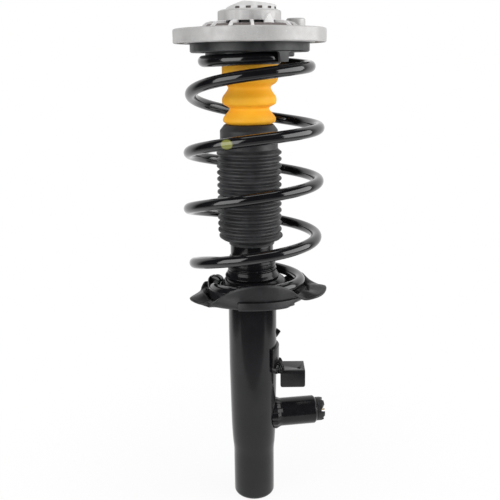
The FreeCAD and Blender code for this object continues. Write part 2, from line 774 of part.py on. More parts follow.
def mount_cap():
    z0 = TURRET_TOP_Z + FIT
    lid = Part.makeCylinder(LID_R, LID_PEAK_Z - z0 + 5, V(LID_X, 0, z0))
    body = lid.common(lid_slant(0.0))
    skirt_r = HUB_IN_R - FIT
    flange = turned([
        (0, z0 - LID_SKIRT_H), (skirt_r, z0 - LID_SKIRT_H), (skirt_r, z0), (LID_FLANGE_R, z0),
        (LID_FLANGE_R, z0 + 0.8), (0, z0 + 0.8),
    ])
    body = body.fuse(flange).removeSplitter()
    inside = Part.makeCylinder(LID_R - LID_WALL, 30, V(LID_X, 0, z0 - 10))
    body = body.cut(inside.common(lid_slant(-LID_WALL)))
    low = z0 + 1.2
    for i in range(RIB_COUNT):
        azimuth = RIB_PHASE - 9.5 + 360.0 * i / RIB_COUNT
        if lid_height(LID_X + LID_R * math.cos(math.radians(azimuth))) < low + LID_WINDOW_H + 1.0:
            continue
        corner = V(LID_R - LID_WALL - 2, -LID_WINDOW_W / 2, low)
        slot = Part.makeBox(LID_WALL + 4, LID_WINDOW_W, LID_WINDOW_H, corner)
        slot.rotate(V(0, 0, 0), V(0, 0, 1), azimuth)
        slot.translate(V(LID_X, 0, 0))
        body = body.cut(slot)
    return body


def lid_height(x):
    """Height of the lid's slanted top over a given X."""
    left = LID_X - LID_R - 1
    right = LID_X + LID_R + 1
    if x < LID_PEAK_X:
        return LID_LEFT_Z + (LID_PEAK_Z - LID_LEFT_Z) * (x - left) / (LID_PEAK_X - left)
    return LID_PEAK_Z + (LID_RIGHT_Z - LID_PEAK_Z) * (x - LID_PEAK_X) / (right - LID_PEAK_X)


def lid_slant(down):
    """Everything under the lid's two slanted planes, moved down by a wall."""
    left = LID_X - LID_R - 1
    right = LID_X + LID_R + 1
    low = TURRET_TOP_Z - 10
    face = Part.Face(Part.makePolygon([
        V(left, -60, low), V(left, -60, LID_LEFT_Z + down), V(LID_PEAK_X, -60, LID_PEAK_Z + down),
        V(right, -60, LID_RIGHT_Z + down), V(right, -60, low), V(left, -60, low),
    ]))
    return face.extrude(V(0, 120, 0))


def rubber_bush():
    z0 = BUSH_BOTTOM_Z
    z1 = z0 + BUSH_H
    r_in = BUSH_IN_R + FIT
    r_out = HUB_IN_R - FIT
    return turned([
        (r_in, z0), (r_in + 4, z0), (r_in + 6, z0 + BUSH_GROOVE), (r_out - 5, z0 + BUSH_GROOVE),
        (r_out - 3, z0), (r_out, z0), (r_out, z1), (r_out - 3, z1), (r_out - 5, z1 - BUSH_GROOVE),
        (r_in + 6, z1 - BUSH_GROOVE), (r_in + 4, z1), (r_in, z1),
    ])


def bush_sleeve():
    z0 = ROD_SHOULDER_Z + FIT
    z1 = BUSH_BOTTOM_Z + SLEEVE_TOP_H
    r_in = ROD_STUD_R + FIT
    return turned([
        (r_in, z0), (ROD_R + 6, z0), (ROD_R + 6, BUSH_BOTTOM_Z - FIT), (BUSH_IN_R, BUSH_BOTTOM_Z - FIT),
        (BUSH_IN_R, z1), (r_in, z1),
    ])


def rod_nut():
    z0 = BUSH_BOTTOM_Z + SLEEVE_TOP_H + FIT
    washer = ring(ROD_STUD_R + FIT, NUT_AF / 2 + 1.6, z0, z0 + 1.6)
    nut = hex_nut(NUT_AF, ROD_STUD_R + FIT, z0 + 1.6, NUT_H - 1.6)
    return washer.fuse(nut).removeSplitter()


def bump_stop_cup():
    """Cup under the mount that holds the head of the bump stop."""
    z1 = STOP_CUP_Z + STOP_CUP_THICK
    z0 = z1 - STOP_CUP_H
    wall = 1.8
    r_hub = HUB_IN_R - FIT
    return turned([
        (STOP_BORE_R, STOP_CUP_Z), (STOP_CUP_R - wall, STOP_CUP_Z), (STOP_CUP_R - wall, z0),
        (STOP_CUP_R, z0), (STOP_CUP_R, z1), (r_hub, z1), (r_hub, z1 + 5), (r_hub - wall, z1 + 5),
        (r_hub - wall, z1), (STOP_BORE_R, z1),
    ])


def bump_stop():
    """Cellular urethane stop: a plain head, two waists with a bulge between, and a soft lip."""
    head_r = STOP_CUP_R - 1.8 - FIT
    top = STOP_CUP_Z - FIT
    folds = [
        (31.6, 55.0), (30.8, 48.5), (25.2, 43.5), (23.5, 40.0), (25.2, 36.5), (30.6, 32.0),
        (32.0, 28.0), (31.8, 24.0), (29.6, 20.2), (24.4, 17.5), (22.9, 15.3), (24.0, 12.8),
        (29.8, 9.6), (31.4, 7.0), (31.3, 4.5), (28.6, 0.0),
    ]
    edges = []
    points = [V(head_r, 0, top), V(head_r, 0, top - 8), V(folds[0][0], 0, top - 12)]
    points += [V(r, 0, STOP_BOTTOM_Z + STOP_H / 86.0 * h) for r, h in folds]
    edges.append(Part.LineSegment(points[0], points[1]).toShape())
    edges.append(Part.LineSegment(points[1], points[2]).toShape())
    edges.append(Part.LineSegment(points[2], points[3]).toShape())
    curve = Part.BSplineCurve()
    curve.interpolate(Points=points[3:-1])
    edges.append(curve.toShape())
    edges.append(Part.LineSegment(points[-2], points[-1]).toShape())
    bottom = V(STOP_BORE_R, 0, STOP_BOTTOM_Z)
    edges.append(Part.LineSegment(points[-1], bottom).toShape())
    edges.append(Part.LineSegment(bottom, V(STOP_BORE_R, 0, top)).toShape())
    edges.append(Part.LineSegment(V(STOP_BORE_R, 0, top), points[0]).toShape())
    return Part.Face(Part.Wire(edges)).revolve(V(0, 0, 0), V(0, 0, 1), 360)


# Dust boot

def circle_at(r, z):
    return Part.Wire([Part.Circle(V(0, 0, z), V(0, 0, 1), r).toShape()])


def ruled(sections):
    return Part.makeLoft([circle_at(r, z) for r, z in sections], True, True)


def dust_boot():
    top = STOP_BOTTOM_Z - GAP
    ribs_from = BOOT_BOTTOM_Z + BOOT_FOOT_H
    ribs_top = top - BOOT_COLLAR_H
    pitch = (ribs_top - ribs_from) / RIB_N
    rise = pitch * 0.28
    flat = pitch * 0.30
    outer = [(BOOT_NECK_R, BOOT_BOTTOM_Z), (BOOT_NECK_R, ribs_from - 3.5)]
    for i in range(RIB_N):
        z = ribs_from + i * pitch
        outer += [
            (BOOT_VALLEY_R, z), (BOOT_RIDGE_R, z + rise), (BOOT_RIDGE_R, z + rise + flat),
            (BOOT_VALLEY_R, z + 2 * rise + flat),
        ]
    outer += [(BOOT_COLLAR_R, ribs_top + 1.0), (BOOT_COLLAR_R, top - 6.5), (BOOT_MOUTH_R + 1.4, top)]
    bore = [
        (NECK_R + FIT, BOOT_BOTTOM_Z), (NECK_R + FIT, ribs_from - 2.0),
        (BOOT_BORE_R, ribs_from + 1.5), (BOOT_BORE_R, ribs_top),
        (BOOT_COLLAR_R - BOOT_WALL, ribs_top + 2.0), (BOOT_COLLAR_R - BOOT_WALL, top - 7.0),
        (BOOT_MOUTH_R, top),
    ]
    return ruled(outer).cut(ruled(bore))


# Lower spring seat

def rim_curves():
    """Radius and height of the dish's rim as closed smooth curves over azimuth."""
    azimuths = [a for a, r, z in DISH_RIM]
    turns = azimuths + [azimuths[0] - 360]
    return turns, [r for a, r, z in DISH_RIM], [z for a, r, z in DISH_RIM]


def rim_at(azimuth):
    """Rim radius and height between the listed azimuths, with smooth slopes."""
    turns, radii, heights = rim_curves()
    n = len(radii)
    a = azimuth
    while a > turns[0]:
        a -= 360
    while a <= turns[-1]:
        a += 360
    for i in range(n):
        if turns[i] >= a > turns[i + 1]:
            break
    t = (turns[i] - a) / (turns[i] - turns[i + 1])
    out = []
    for values in (radii, heights):
        p0, p1 = values[i - 1], values[i]
        p2, p3 = values[(i + 1) % n], values[(i + 2) % n]
        w0 = turns[i - 1] - turns[i] if i > 0 else turns[-2] + 360 - turns[0]
        w1 = turns[i] - turns[i + 1]
        w2 = turns[i + 1] - turns[i + 2] if i + 2 <= n else turns[0] - turns[1]
        m1 = (p2 - p0) / (w0 + w1) * w1
        m2 = (p3 - p1) / (w1 + w2) * w1
        h00 = 2 * t ** 3 - 3 * t ** 2 + 1
        h10 = t ** 3 - 2 * t ** 2 + t
        h01 = -2 * t ** 3 + 3 * t ** 2
        h11 = t ** 3 - t ** 2
        out.append(h00 * p1 + h10 * m1 + h01 * p2 + h11 * m2)
    return out


def dish_sections(azimuth):
    """Top surface of the dish along one azimuth, as (radius, height, shift along X)."""
    s = math.sin(math.radians(azimuth))
    hub = [
        (BODY_R + FIT, DISH_TOP_Z, 0.0, 0.0), (BODY_R + 3.8, DISH_TOP_Z - 1.0, 1.5, 0.0),
        (BODY_R + 7.8, DISH_TOP_Z - 4.5, 3.0, 0.3), (HUB_FOOT_R - 6.4, DISH_FLOOR_Z + 12.0, COIL_X, 0.6),
        (HUB_FOOT_R - 5.4, DISH_FLOOR_Z + 5.0, COIL_X, 0.9),
        (HUB_FOOT_R - 3.4, DISH_FLOOR_Z + 1.0, COIL_X, 1.0),
        (HUB_FOOT_R, DISH_FLOOR_Z, COIL_X, 1.0), (DISH_FLOOR_R, DISH_FLOOR_Z, COIL_X, 1.0),
    ]
    out = []
    for r, z, shift, lean in hub:
        out.append((r, z - COIL_TILT * lean * r * s, shift))
    rim_r, rim_z = rim_at(azimuth)
    foot_z = DISH_FLOOR_Z - COIL_TILT * DISH_FLOOR_R * s
    for part_r, part_z, shift in ((0.45, 0.16, 2.2), (0.80, 0.55, 1.0), (1.0, 1.0, 0.0)):
        r = DISH_FLOOR_R + (rim_r - DISH_FLOOR_R) * part_r
        out.append((r, foot_z + (rim_z - foot_z) * part_z, shift))
    return out


def lowered(section):
    """The same line moved square to itself by the sheet's thickness, to the underside."""
    out = []
    last = len(section) - 1
    for i, (r, z, shift) in enumerate(section):
        a = section[max(i - 1, 0)]
        b = section[min(i + 1, last)]
        dr, dz = b[0] - a[0], b[1] - a[1]
        size = math.hypot(dr, dz)
        if i == 0:
            out.append((r, z - DISH_THICK, shift))
        else:
            out.append((r + dz / size * DISH_THICK, z - dr / size * DISH_THICK, shift))
    return out


def closed_curve(points):
    curve = Part.BSplineCurve()
    curve.interpolate(Points=points, PeriodicFlag=True)
    return curve.toShape()


def lower_spring_seat():
    step = 7.5
    azimuths = [-i * step for i in range(int(360 / step))]
    tops = [dish_sections(a) for a in azimuths]
    unders = [lowered(t) for t in tops]
    count = len(tops[0])
    loops = []
    for rows, order in ((tops, range(count)), (unders, range(count - 1, -1, -1))):
        for k in order:
            points = []
            for a, row in zip(azimuths, rows):
                r, z, shift = row[k]
                p = polar(r, a, z)
                points.append(V(p.x + shift, p.y, z))
            loops.append(closed_curve(points))
    faces = [Part.makeRuledSurface(a, b) for a, b in zip(loops, loops[1:] + loops[:1])]
    shell = Part.makeShell(faces)
    shell.sewShape()
    solid = Part.makeSolid(shell)
    if solid.Volume < 0:
        solid.reverse()
    return solid


def tilted(shape):
    """Leans a shape towards the back as the spring's seat does, about the X axis at the floor's height."""
    shape.rotate(V(0, 0, 0), V(1, 0, 0), -math.degrees(math.atan(COIL_TILT)))
    return shape


def seat_stiffener():
    """Pressed stay welded under the front of the dish and to the tube, with a raised lip in front."""
    r0 = CLAMP_R
    z1 = -DISH_THICK - FIT
    z0 = z1 - STAY_THICK
    plate = turned([
        (r0, z0 - STAY_FOOT_H), (BODY_R + STAY_THICK, z0 - STAY_FOOT_H), (BODY_R + STAY_THICK + 2, z0),
        (STAY_R, z0), (STAY_R, z1), (r0, z1),
    ], STAY_TO_AZ - STAY_FROM_AZ, STAY_FROM_AZ)
    lip_r = STAY_LIP_IN_R + STAY_LIP_THICK
    lip = turned([
        (STAY_R - 2, z0), (lip_r - 1.5, z0), (lip_r, z0 + 1.5), (lip_r, z0 + STAY_LIP_H),
        (STAY_LIP_IN_R, z0 + STAY_LIP_H), (STAY_LIP_IN_R, z1), (STAY_R - 2, z1),
    ], LIP_TO_AZ - LIP_FROM_AZ, LIP_FROM_AZ)
    body = tilted(plate.fuse(lip).removeSplitter())
    body.translate(V(0, 0, DISH_FLOOR_Z))
    return body.cut(tube_volume(FIT))


def seat_collar():
    r_in = NECK_R + FIT
    z0 = COLLAR_BOTTOM_Z
    z1 = COLLAR_TOP_Z
    low_in = BODY_R + 3 * FIT
    step_z = SHOULDER_Z + 0.5
    return turned([
        (low_in, z0), (COLLAR_FLARE_R, z0), (COLLAR_FLARE_R + 0.2, z0 + 1.2),
        (BODY_R + 0.8, z0 + 4.6), (NECK_R + 3.2, z0 + 9.2), (NECK_R + 3.4, z0 + 11.0),
        (NECK_R + 2.4, z0 + 12.2), (NECK_R + 2.6, z0 + 15.4), (NECK_R + 2.6, z0 + 17.0),
        (COLLAR_R, z0 + 18.4), (COLLAR_R - 0.4, z1), (r_in, z1),
        (r_in, SHOULDER_Z + SHOULDER_H + 1.0), (low_in, step_z),
    ])


def lower_spring_pad():
    """Rubber channel under the last coil, ending in a raised hook round the wire's end."""
    sweep = LOW_PAD_FROM_AZ - LOW_PAD_TO_AZ
    r_out = DISH_FLOOR_R - GAP
    rest = 3 * FIT
    body = turned([
        (HUB_FOOT_R + 0.6, rest), (r_out, rest), (r_out, LOW_PAD_H), (r_out - 1.2, LOW_PAD_H + 1.0),
        (HUB_FOOT_R - 3.4, LOW_PAD_H + 1.0), (HUB_FOOT_R - 4.4, LOW_PAD_H), (HUB_FOOT_R - 4.2, 5.2),
        (HUB_FOOT_R - 2.6, 1.6),
    ], sweep, LOW_PAD_TO_AZ)
    body = tilted(body)
    body.translate(V(COIL_X, 0, DISH_FLOOR_Z))
    end = coil_point(COIL_TURNS)
    along = coil_tangent(COIL_TURNS)
    start = end - along * 9.0 + V(0, 0, 2.0)
    hook = Part.makeCylinder(HOOK_R, 9.0 + HOOK_BACK, start, along)
    hook = fillet_at(hook, 2.0, lambda e: hasattr(e.Curve, "Radius") and e.Closed)
    floor = Part.makeBox(200, 200, 40, V(-100, -100, -40 + rest))
    floor = tilted(floor)
    floor.translate(V(COIL_X, 0, DISH_FLOOR_Z))
    body = body.fuse(hook).removeSplitter().cut(floor)
    return body.cut(wire_solid(WIRE_R + FIT, COIL_TURNS - 1.0))


# Side valve

def valve_housing():
    r = VALVE_R
    r_in = r - VALVE_WALL
    outer = turned([
        (r_in, 20), (r + WELD_LEG, 20), (r + WELD_LEG, BODY_R - 0.7), (r + 0.6, BODY_R + 3.3),
        (r, BODY_R + 5.3),
        (r, VALVE_END), (r - 3.2, VALVE_END + 2.4), (r_in - 1.2, VALVE_END + 2.4), (r_in, VALVE_END),
    ])
    return on_valve_axis(outer).cut(tube_volume(FIT, 0.0))


def valve_body():
    r_main = VALVE_R - VALVE_WALL - FIT
    bore = SPOOL_R + RUN
    return on_valve_axis(turned([
        (bore, SLEEVE_R + 0.4), (SPIGOT_R, SLEEVE_R + 0.4), (SPIGOT_R, VALVE_ROOT),
        (r_main, VALVE_ROOT), (r_main, VALVE_ROOT + 17), (bore, VALVE_ROOT + 17),
    ]))


def valve_seal():
    seat = V(0, 0, VALVE_ROOT - 3.8)
    return on_valve_axis(Part.makeTorus(SPIGOT_R + 1.15, 1.1, seat, V(0, 0, 1)))


def valve_spool():
    r = SPOOL_R
    u = VALVE_ROOT
    return on_valve_axis(turned([
        (0, u + 2), (r, u + 2), (r, u + 6), (r - 1, u + 7), (r - 1, u + 10), (r, u + 11),
        (r, u + 19), (0, u + 19),
    ]))


def valve_armature():
    z0 = VALVE_ROOT + 19 + FIT
    return on_valve_axis(rod(COIL_BORE_R - 0.6, z0, VALVE_ROOT + 30))


def solenoid_coil():
    r = VALVE_R - VALVE_WALL - FIT
    r_in = COIL_BORE_R
    u = VALVE_ROOT + 17
    return on_valve_axis(turned([
        (r_in, u + FIT), (r, u + FIT), (r, u + 3), (r - 1.5, u + 3), (r - 1.5, u + 20), (r, u + 20),
        (r, u + 23), (r_in, u + 23),
    ]))


def pole_core():
    z0 = VALVE_ROOT + 30 + SPOOL_STROKE + GAP
    r = COIL_BORE_R - FIT
    return on_valve_axis(rod(r, z0, VALVE_ROOT + 40))


def valve_connector():
    z0 = VALVE_END + 2.4 + FIT
    z1 = PLUG_END
    root = VALVE_ROOT + 40 + FIT
    inner = VALVE_R - VALVE_WALL - 1.2 - FIT
    body = turned([
        (0, root), (inner - FIT, root), (inner - FIT, z0), (PLUG_R - 1.5, z0), (PLUG_R, z0 + 1.5),
        (PLUG_R, z1 - 4), (PLUG_R - 0.8, z1), (PLUG_BORE_R, z1), (PLUG_BORE_R, z0 + 4), (0, z0 + 4),
    ])
    for i in range(PLUG_TEETH):
        notch = Part.makeBox(8, 5.0, 4.5, V(PLUG_BORE_R + 1.2, -2.5, z1 - 4))
        notch.rotate(V(0, 0, 0), V(0, 0, 1), 360.0 * (i + 0.5) / PLUG_TEETH)
        body = body.cut(notch)
    return on_valve_axis(body)


def connector_pins():
    z0 = VALVE_END + 2.4 + FIT + 4
    pins = []
    for side in (-1, 1):
        pin = rod(PIN_R, z0 + FIT, z0 + 7)
        pin.translate(V(0, side * PIN_PITCH / 2, 0))
        pins.append(on_valve_axis(pin))
    return Part.Compound(pins)


# Brackets on the tube

def saddle_plate():
    """Curved plate welded to the tube, which carries the hose bracket."""
    r0 = BODY_R + FIT
    body = turned([
        (r0, SADDLE_FROM_Z), (r0 + SADDLE_THICK, SADDLE_FROM_Z), (r0 + SADDLE_THICK, SADDLE_TO_Z),
        (r0, SADDLE_TO_Z),
    ], SADDLE_TO_AZ - SADDLE_FROM_AZ, SADDLE_FROM_AZ)
    upright = [e for e in body.Edges if abs(e.tangentAt(e.FirstParameter).z) < 0.01 and e.Length < 4]
    return body.makeFillet(1.4, upright)


def hose_bracket():
    """Bent plate: a level top with a clip hole and a face turned down at the front."""
    t = BRACKET_THICK
    x1 = BRACKET_X1
    y0, y1 = BRACKET_FRONT_Y, BRACKET_BACK_Y
    top = Part.makeBox(x1 - 20, y1 - y0, t, V(20, y0, BRACKET_TOP_Z - t))
    corner = V(BRACKET_FACE_X0, y0, BRACKET_TOP_Z - BRACKET_H)
    face = Part.makeBox(x1 - BRACKET_FACE_X0, t, BRACKET_H, corner)
    body = top.fuse(face).removeSplitter()
    body = fillet_at(body, t * 0.8, lambda e: front_top_edge(e))
    body = body.makeFillet(BRACKET_ROUND, [e for e in body.Edges if bracket_corner(e)])
    hole = rod(BRACKET_HOLE_R, BRACKET_TOP_Z - t - 1, BRACKET_TOP_Z + 1)
    hole.translate(V(BRACKET_HOLE[0], BRACKET_HOLE[1], 0))
    return body.cut(hole).cut(rod(BODY_R + 2 * FIT, 100, 250))


def front_top_edge(edge):
    box = edge.BoundBox
    level = abs(box.ZMin - BRACKET_TOP_Z) < 1e-3 and abs(box.ZMax - BRACKET_TOP_Z) < 1e-3
    return level and abs(box.YMin - BRACKET_FRONT_Y) < 1e-3 and abs(box.YMax - BRACKET_FRONT_Y) < 1e-3


def bracket_corner(edge):
    """Short edges through the plate at its free corners."""
    box = edge.BoundBox
    if abs(edge.Length - BRACKET_THICK) > 1e-3:
        return False
    z0 = BRACKET_TOP_Z - BRACKET_H
    low = abs(box.ZMin - z0) < 1e-3 and abs(box.ZMax - z0) < 1e-3
    back = abs(box.YMin - BRACKET_BACK_Y) < 1e-3 and box.XMin > BRACKET_X1 - 1
    return low or back


def bracket_weld():
    """Weld bead that runs from the bracket's top up to the saddle."""
    r = BODY_R + SADDLE_THICK + FIT
    z = BRACKET_TOP_Z + FIT
    root = SADDLE_FROM_Z - FIT
    return turned([
        (BODY_R + 2 * FIT, z), (r + 5.5, z), (r + 3.0, z + 4.0), (r, root + 2.0), (r, root),
        (BODY_R + 2 * FIT, root),
    ], 60, -38)


def locating_tooth():
    r = BODY_R
    face = Part.Face(Part.makePolygon([
        V(r - 1, 0, TOOTH_Z - TOOTH_H / 2), V(r + 0.6, 0, TOOTH_Z - TOOTH_H / 2 - 1),
        V(r + TOOTH_REACH, 0, TOOTH_Z + 1), V(r + TOOTH_REACH - 1.4, 0, TOOTH_Z + 2.4),
        V(r + 0.6, 0, TOOTH_Z + TOOTH_H / 2), V(r - 1, 0, TOOTH_Z + TOOTH_H / 2),
        V(r - 1, 0, TOOTH_Z - TOOTH_H / 2),
    ]))
    tooth = face.extrude(V(0, 3.4, 0))
    tooth.translate(V(0, -1.7, 0))
    tooth.rotate(V(0, 0, 0), V(0, 0, 1), TOOTH_AZ)
    return tooth.cut(rod(r + FIT, TOOTH_Z - 20, TOOTH_Z + 20))


NODES = {
    "strut_tube": strut_tube,
    "base_valve": base_valve,
    "inner_cylinder": inner_cylinder,
    "intermediate_tube": intermediate_tube,
    "rod_guide": rod_guide,
    "rod_seal": rod_seal,
    "tube_cap": tube_cap,
    "lower_spring_seat": lower_spring_seat,
    "seat_stiffener": seat_stiffener,
    "seat_collar": seat_collar,
    "lower_spring_pad": lower_spring_pad,
    "coil_spring": lambda: wire_solid(WIRE_R),
    "dust_boot": dust_boot,
    "valve_housing": valve_housing,
    "valve_body": valve_body,
    "valve_seal": valve_seal,
    "valve_spool": valve_spool,
    "valve_armature": valve_armature,
    "solenoid_coil": solenoid_coil,
    "pole_core": pole_core,
    "valve_connector": valve_connector,
    "connector_pins": connector_pins,
    "saddle_plate": saddle_plate,
    "hose_bracket": hose_bracket,
    "bracket_weld": bracket_weld,
    "locating_tooth": locating_tooth,
    "upper_isolator": upper_isolator,
    "seat_carrier": seat_carrier,
    "lower_race": lower_race,
    "bearing_cage": bearing_cage,
    "bearing_balls": bearing_balls,
    "upper_race": upper_race,
    "mount_housing": mount_housing,
    "mount_cap": mount_cap,
    "rubber_bush": rubber_bush,
    "bush_sleeve": bush_sleeve,
    "rod_nut": rod_nut,
    "bump_stop_cup": bump_stop_cup,
    "bump_stop": bump_stop,
    "piston_rod": piston_rod,
    "rebound_stop": rebound_stop,
    "piston": piston,
    "piston_band": piston_band,
    "rebound_discs": lambda: valve_discs(PISTON_Z - FIT, -1),
    "compression_discs": lambda: valve_discs(PISTON_Z + PISTON_H + FIT, 1),
    "piston_nut": piston_nut,
}

os.makedirs("parts", exist_ok=True)
for name, make in NODES.items():
    shape = make()
    shape.exportStep("parts/%s.step" % name)
    box = shape.BoundBox
    print("%-20s solids %2d  volume %9.1f  valid %s  z %.1f to %.1f" % (
        name, len(shape.Solids), shape.Volume, shape.isValid(), box.ZMin, box.ZMax))
print("bump stop meets the tube cap after %.1f mm" % (STOP_BOTTOM_Z - CAP_TOP_Z))
report_coil()
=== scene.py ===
import math

import bmesh
import bpy
import numpy as np
from mathutils import Matrix, Vector, noise

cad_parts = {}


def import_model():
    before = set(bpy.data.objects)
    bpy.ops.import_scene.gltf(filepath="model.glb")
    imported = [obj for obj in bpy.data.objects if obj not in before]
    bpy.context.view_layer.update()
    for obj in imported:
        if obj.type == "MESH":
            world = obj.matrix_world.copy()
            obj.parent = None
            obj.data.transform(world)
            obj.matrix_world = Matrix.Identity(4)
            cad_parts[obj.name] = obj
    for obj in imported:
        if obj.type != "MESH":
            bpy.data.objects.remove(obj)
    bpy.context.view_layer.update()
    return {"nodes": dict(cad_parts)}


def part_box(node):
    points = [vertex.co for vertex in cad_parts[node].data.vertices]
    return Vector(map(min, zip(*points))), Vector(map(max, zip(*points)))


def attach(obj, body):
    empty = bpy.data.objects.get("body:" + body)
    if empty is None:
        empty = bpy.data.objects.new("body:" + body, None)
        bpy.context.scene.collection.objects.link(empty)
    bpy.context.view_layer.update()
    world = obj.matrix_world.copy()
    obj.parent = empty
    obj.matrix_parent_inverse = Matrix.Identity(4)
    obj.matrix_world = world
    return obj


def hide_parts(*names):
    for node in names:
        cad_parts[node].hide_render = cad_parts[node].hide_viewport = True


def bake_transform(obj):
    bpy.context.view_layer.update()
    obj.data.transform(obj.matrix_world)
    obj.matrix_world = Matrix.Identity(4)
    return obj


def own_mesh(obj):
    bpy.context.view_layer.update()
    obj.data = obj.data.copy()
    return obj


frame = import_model()

# Lengths are in millimetres down to the floor and the lights, and become metres as a mesh is made
MM = 0.001


def span(name):
    """Lowest and highest corner of a frame node, in millimetres."""
    low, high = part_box(name)
    return low / MM, high / MM


TUBE_TOP_Z = span("strut_tube")[1].z
CAP_LOW_Z = span("mount_cap")[0].z
TAB_LOW_Z = span("upper_isolator")[0].z
RIM_LOW, RIM_HIGH = span("mount_housing")
STOP_LOW, STOP_HIGH = span("bump_stop")
BOOT_LOW_Z, BOOT_TOP_Z = (corner.z for corner in span("dust_boot"))
COLLAR_LOW_Z, COLLAR_TOP_Z = (corner.z for corner in span("seat_collar"))

# Outer tube
CLAMP_R = 25.5
BASE_ROUND = 6.0
BODY_R = 29.2
NECK_R = 25.5
SHOULDER_Z = 296.0
SHOULDER_H = 7.0
TUBE_WALL = 2.6
BASE_THICK = 9.0
CRIMP_R = 18.0
# (radius, height) up the swaged stretch
SWAGE = [(25.5, 62), (26.05, 69), (26.8, 77), (27.9, 100), (28.7, 145), (BODY_R, 180)]

# Coil spring
WIRE_R = 6.4
COIL_R = 74.8
TOP_COIL_R = 50.0
LOW_COIL_R = 49.3
COIL_TURNS = 5.40
TOP_END_AZ = -58.0
TAB_H = 10.6
PAD_BOTTOM_Z = TAB_LOW_Z + TAB_H
TOP_END_Z = PAD_BOTTOM_Z - WIRE_R - 0.2
END_PITCH = 9.0
COIL_X = 3.5
COIL_TILT = 0.107
# Bulges of the wire's path: how far, at which turn, and over how many turns to either side
COIL_SAG = (4.9, 1.84, 0.62)
COIL_BOW = (2.4, 3.55, 0.8)
COIL_LIE = (6.0, 0.68, 0.42)
# Changes along the wire: from which turn, and over how many turns
TOP_GROW = (-0.35, 2.22)
LOW_SHRINK = (4.13, 0.97)
TOP_RISE = (0.27, 1.20)
LOW_RISE = (4.12, 1.19)
TILT_GROW = (0.4, 0.6)
WIRE_RINGS_PER_TURN = 150
WIRE_SIDES = 32

# Lower spring seat
DISH_THICK = 3.0
DISH_TOP_Z = 292.5
DISH_FLOOR_Z = 268.0
DISH_FLOOR_R = LOW_COIL_R + WIRE_R + 1.4
HUB_FOOT_R = DISH_FLOOR_R - 11.1
# (azimuth, radius, height) round the rim
DISH_RIM = [
    (8, 82, 277.6), (1, 89.2, 278.4), (-9, 88.4, 276.9), (-20, 82.5, 274.8), (-29, 70.5, 273.5),
    (-45, 61.4, 287.5), (-64, 60.5, 296), (-84, 60.5, 297.8), (-101, 60.5, 295.5), (-112, 60.5, 290.5),
    (-124, 60.8, 283), (-141, 63, 271.5), (-153, 71, 269.5), (-165, 77, 270.5), (-173, 74.5, 269.6),
    (-181, 69, 269.7), (-188, 65.5, 270.6), (-194, 62.7, 274.6), (-200, 61, 278.4), (-207, 60.5, 277),
    (-216, 60.5, 271), (-228, 61, 267.5), (-255, 62, 267), (-288, 63, 268), (-305, 64, 272.5),
    (-320, 66.5, 283), (-334, 69, 287), (-345, 74, 280.8),
]
# From the floor to the rim: shares of the way out and up, in the bowl and in a wing, then shift and swell
DISH_STEPS = [
    ((0.45, 0.16), (0.28, 0.95), 2.2, 5.6),
    ((0.80, 0.55), (0.62, 1.12), 1.0, 2.4),
    ((1.0, 1.0), (1.0, 1.0), 0.0, 0.0),
]
STAY_THICK = 3.0
STAY_R = 61.0
STAY_FOOT_H = 5.5
STAY_LIP_IN_R = 63.6
STAY_LIP_THICK = 2.4
STAY_LIP_H = 9.3
STAY_LOW = -DISH_THICK - 0.05 - STAY_THICK     # underside, from the dish's floor
STAY_ARC = (-138.0, -36.0)
LIP_ARC = (-104.0, -30.0)
LOW_PAD_FLOOR = 3.6
LOW_PAD_H = 12.5
LOW_PAD_ARC = (-206.0, -12.0)
HOOK_R = 9.0
HOOK_BEFORE = 9.0     # along the wire, to either side of its end
HOOK_BACK = 5.0
HOOK_SHIFT = Vector((-0.8, 0.3, 3.6))

# Boot
BOOT_RIBS = 14
BOOT_RIDGE_R = 37.7
BOOT_VALLEY_R = 34.6
BOOT_COLLAR_R = 33.4
BOOT_NECK_R = 27.0
BOOT_FOOT_H = 6.4
BOOT_COLLAR_H = 28.6
BOOT_MOUTH_R = 24.0
BOOT_WALL = 1.6
BOOT_LEAN = -2.0     # to the left, as in the photograph

# Bump stop
FOAM_LEAN = -1.2
FOAM_BORE_R = 11.3
# (radius, height) down its folds
FOAM_FOLDS = [
    (31.8, 60.0), (31.8, 55.0), (31.9, 50.5), (31.3, 47.3), (29.0, 44.6), (25.6, 42.5), (24.3, 40.3),
    (25.3, 37.4), (27.6, 34.1), (30.0, 30.9), (30.9, 28.4), (31.05, 25.8), (30.6, 23.2), (29.0, 21.4),
    (25.0, 19.4), (22.7, 17.4), (23.5, 15.0), (26.2, 11.8), (29.0, 8.3), (30.4, 5.0), (29.9, 2.7),
    (28.2, 1.1), (26.4, 0.0),
]

# Upper spring pad
PAD_IN_R = 40.0
PAD_SPIGOT_R = 50.0
PAD_R = 67.0
TAB_AZ = -56.5
TAB_HALF = 6.1
TAB_FLARE = 3.5

# Top mount
RIM_R = RIM_HIGH.x
RIM_H = 15.3
RIM_TOP_Z = RIM_LOW.z + RIM_H
RIM_IN_R = 70.0
WEB_H = 5.0
HUB_IN_R = 31.0
HUB_OUT_R = 38.0
TURRET_R = 35.1
TURRET_TOP_Z = RIM_TOP_Z + 19.0
RIB_COUNT = 14
RIB_PHASE = -86.5
RIB_R = 56.0
RIB_H = 8.0
FIN_HALF = 1.85
FIN_TAPER = 0.05     # on each side, per millimetre of height
WINDOW_W = 12.4
WINDOW_SILL = 1.2
WINDOW_H = 6.6
ARROW_AZ = -63.0
ARROW_R = 44.0
ARROW_RIB = 1
ARROW_W = 14.6
ARROW_H = 14.0
BOSS_AZ = RIB_PHASE + 4.5 * 360.0 / RIB_COUNT
BOSS_AT_R = 61.0
BOSS_R = 11.0
BOSS_H = 12.5
BOLT_PCD = 154.0
BOLT_AZ = -30.0
BOLT_HOLE_R = 3.4
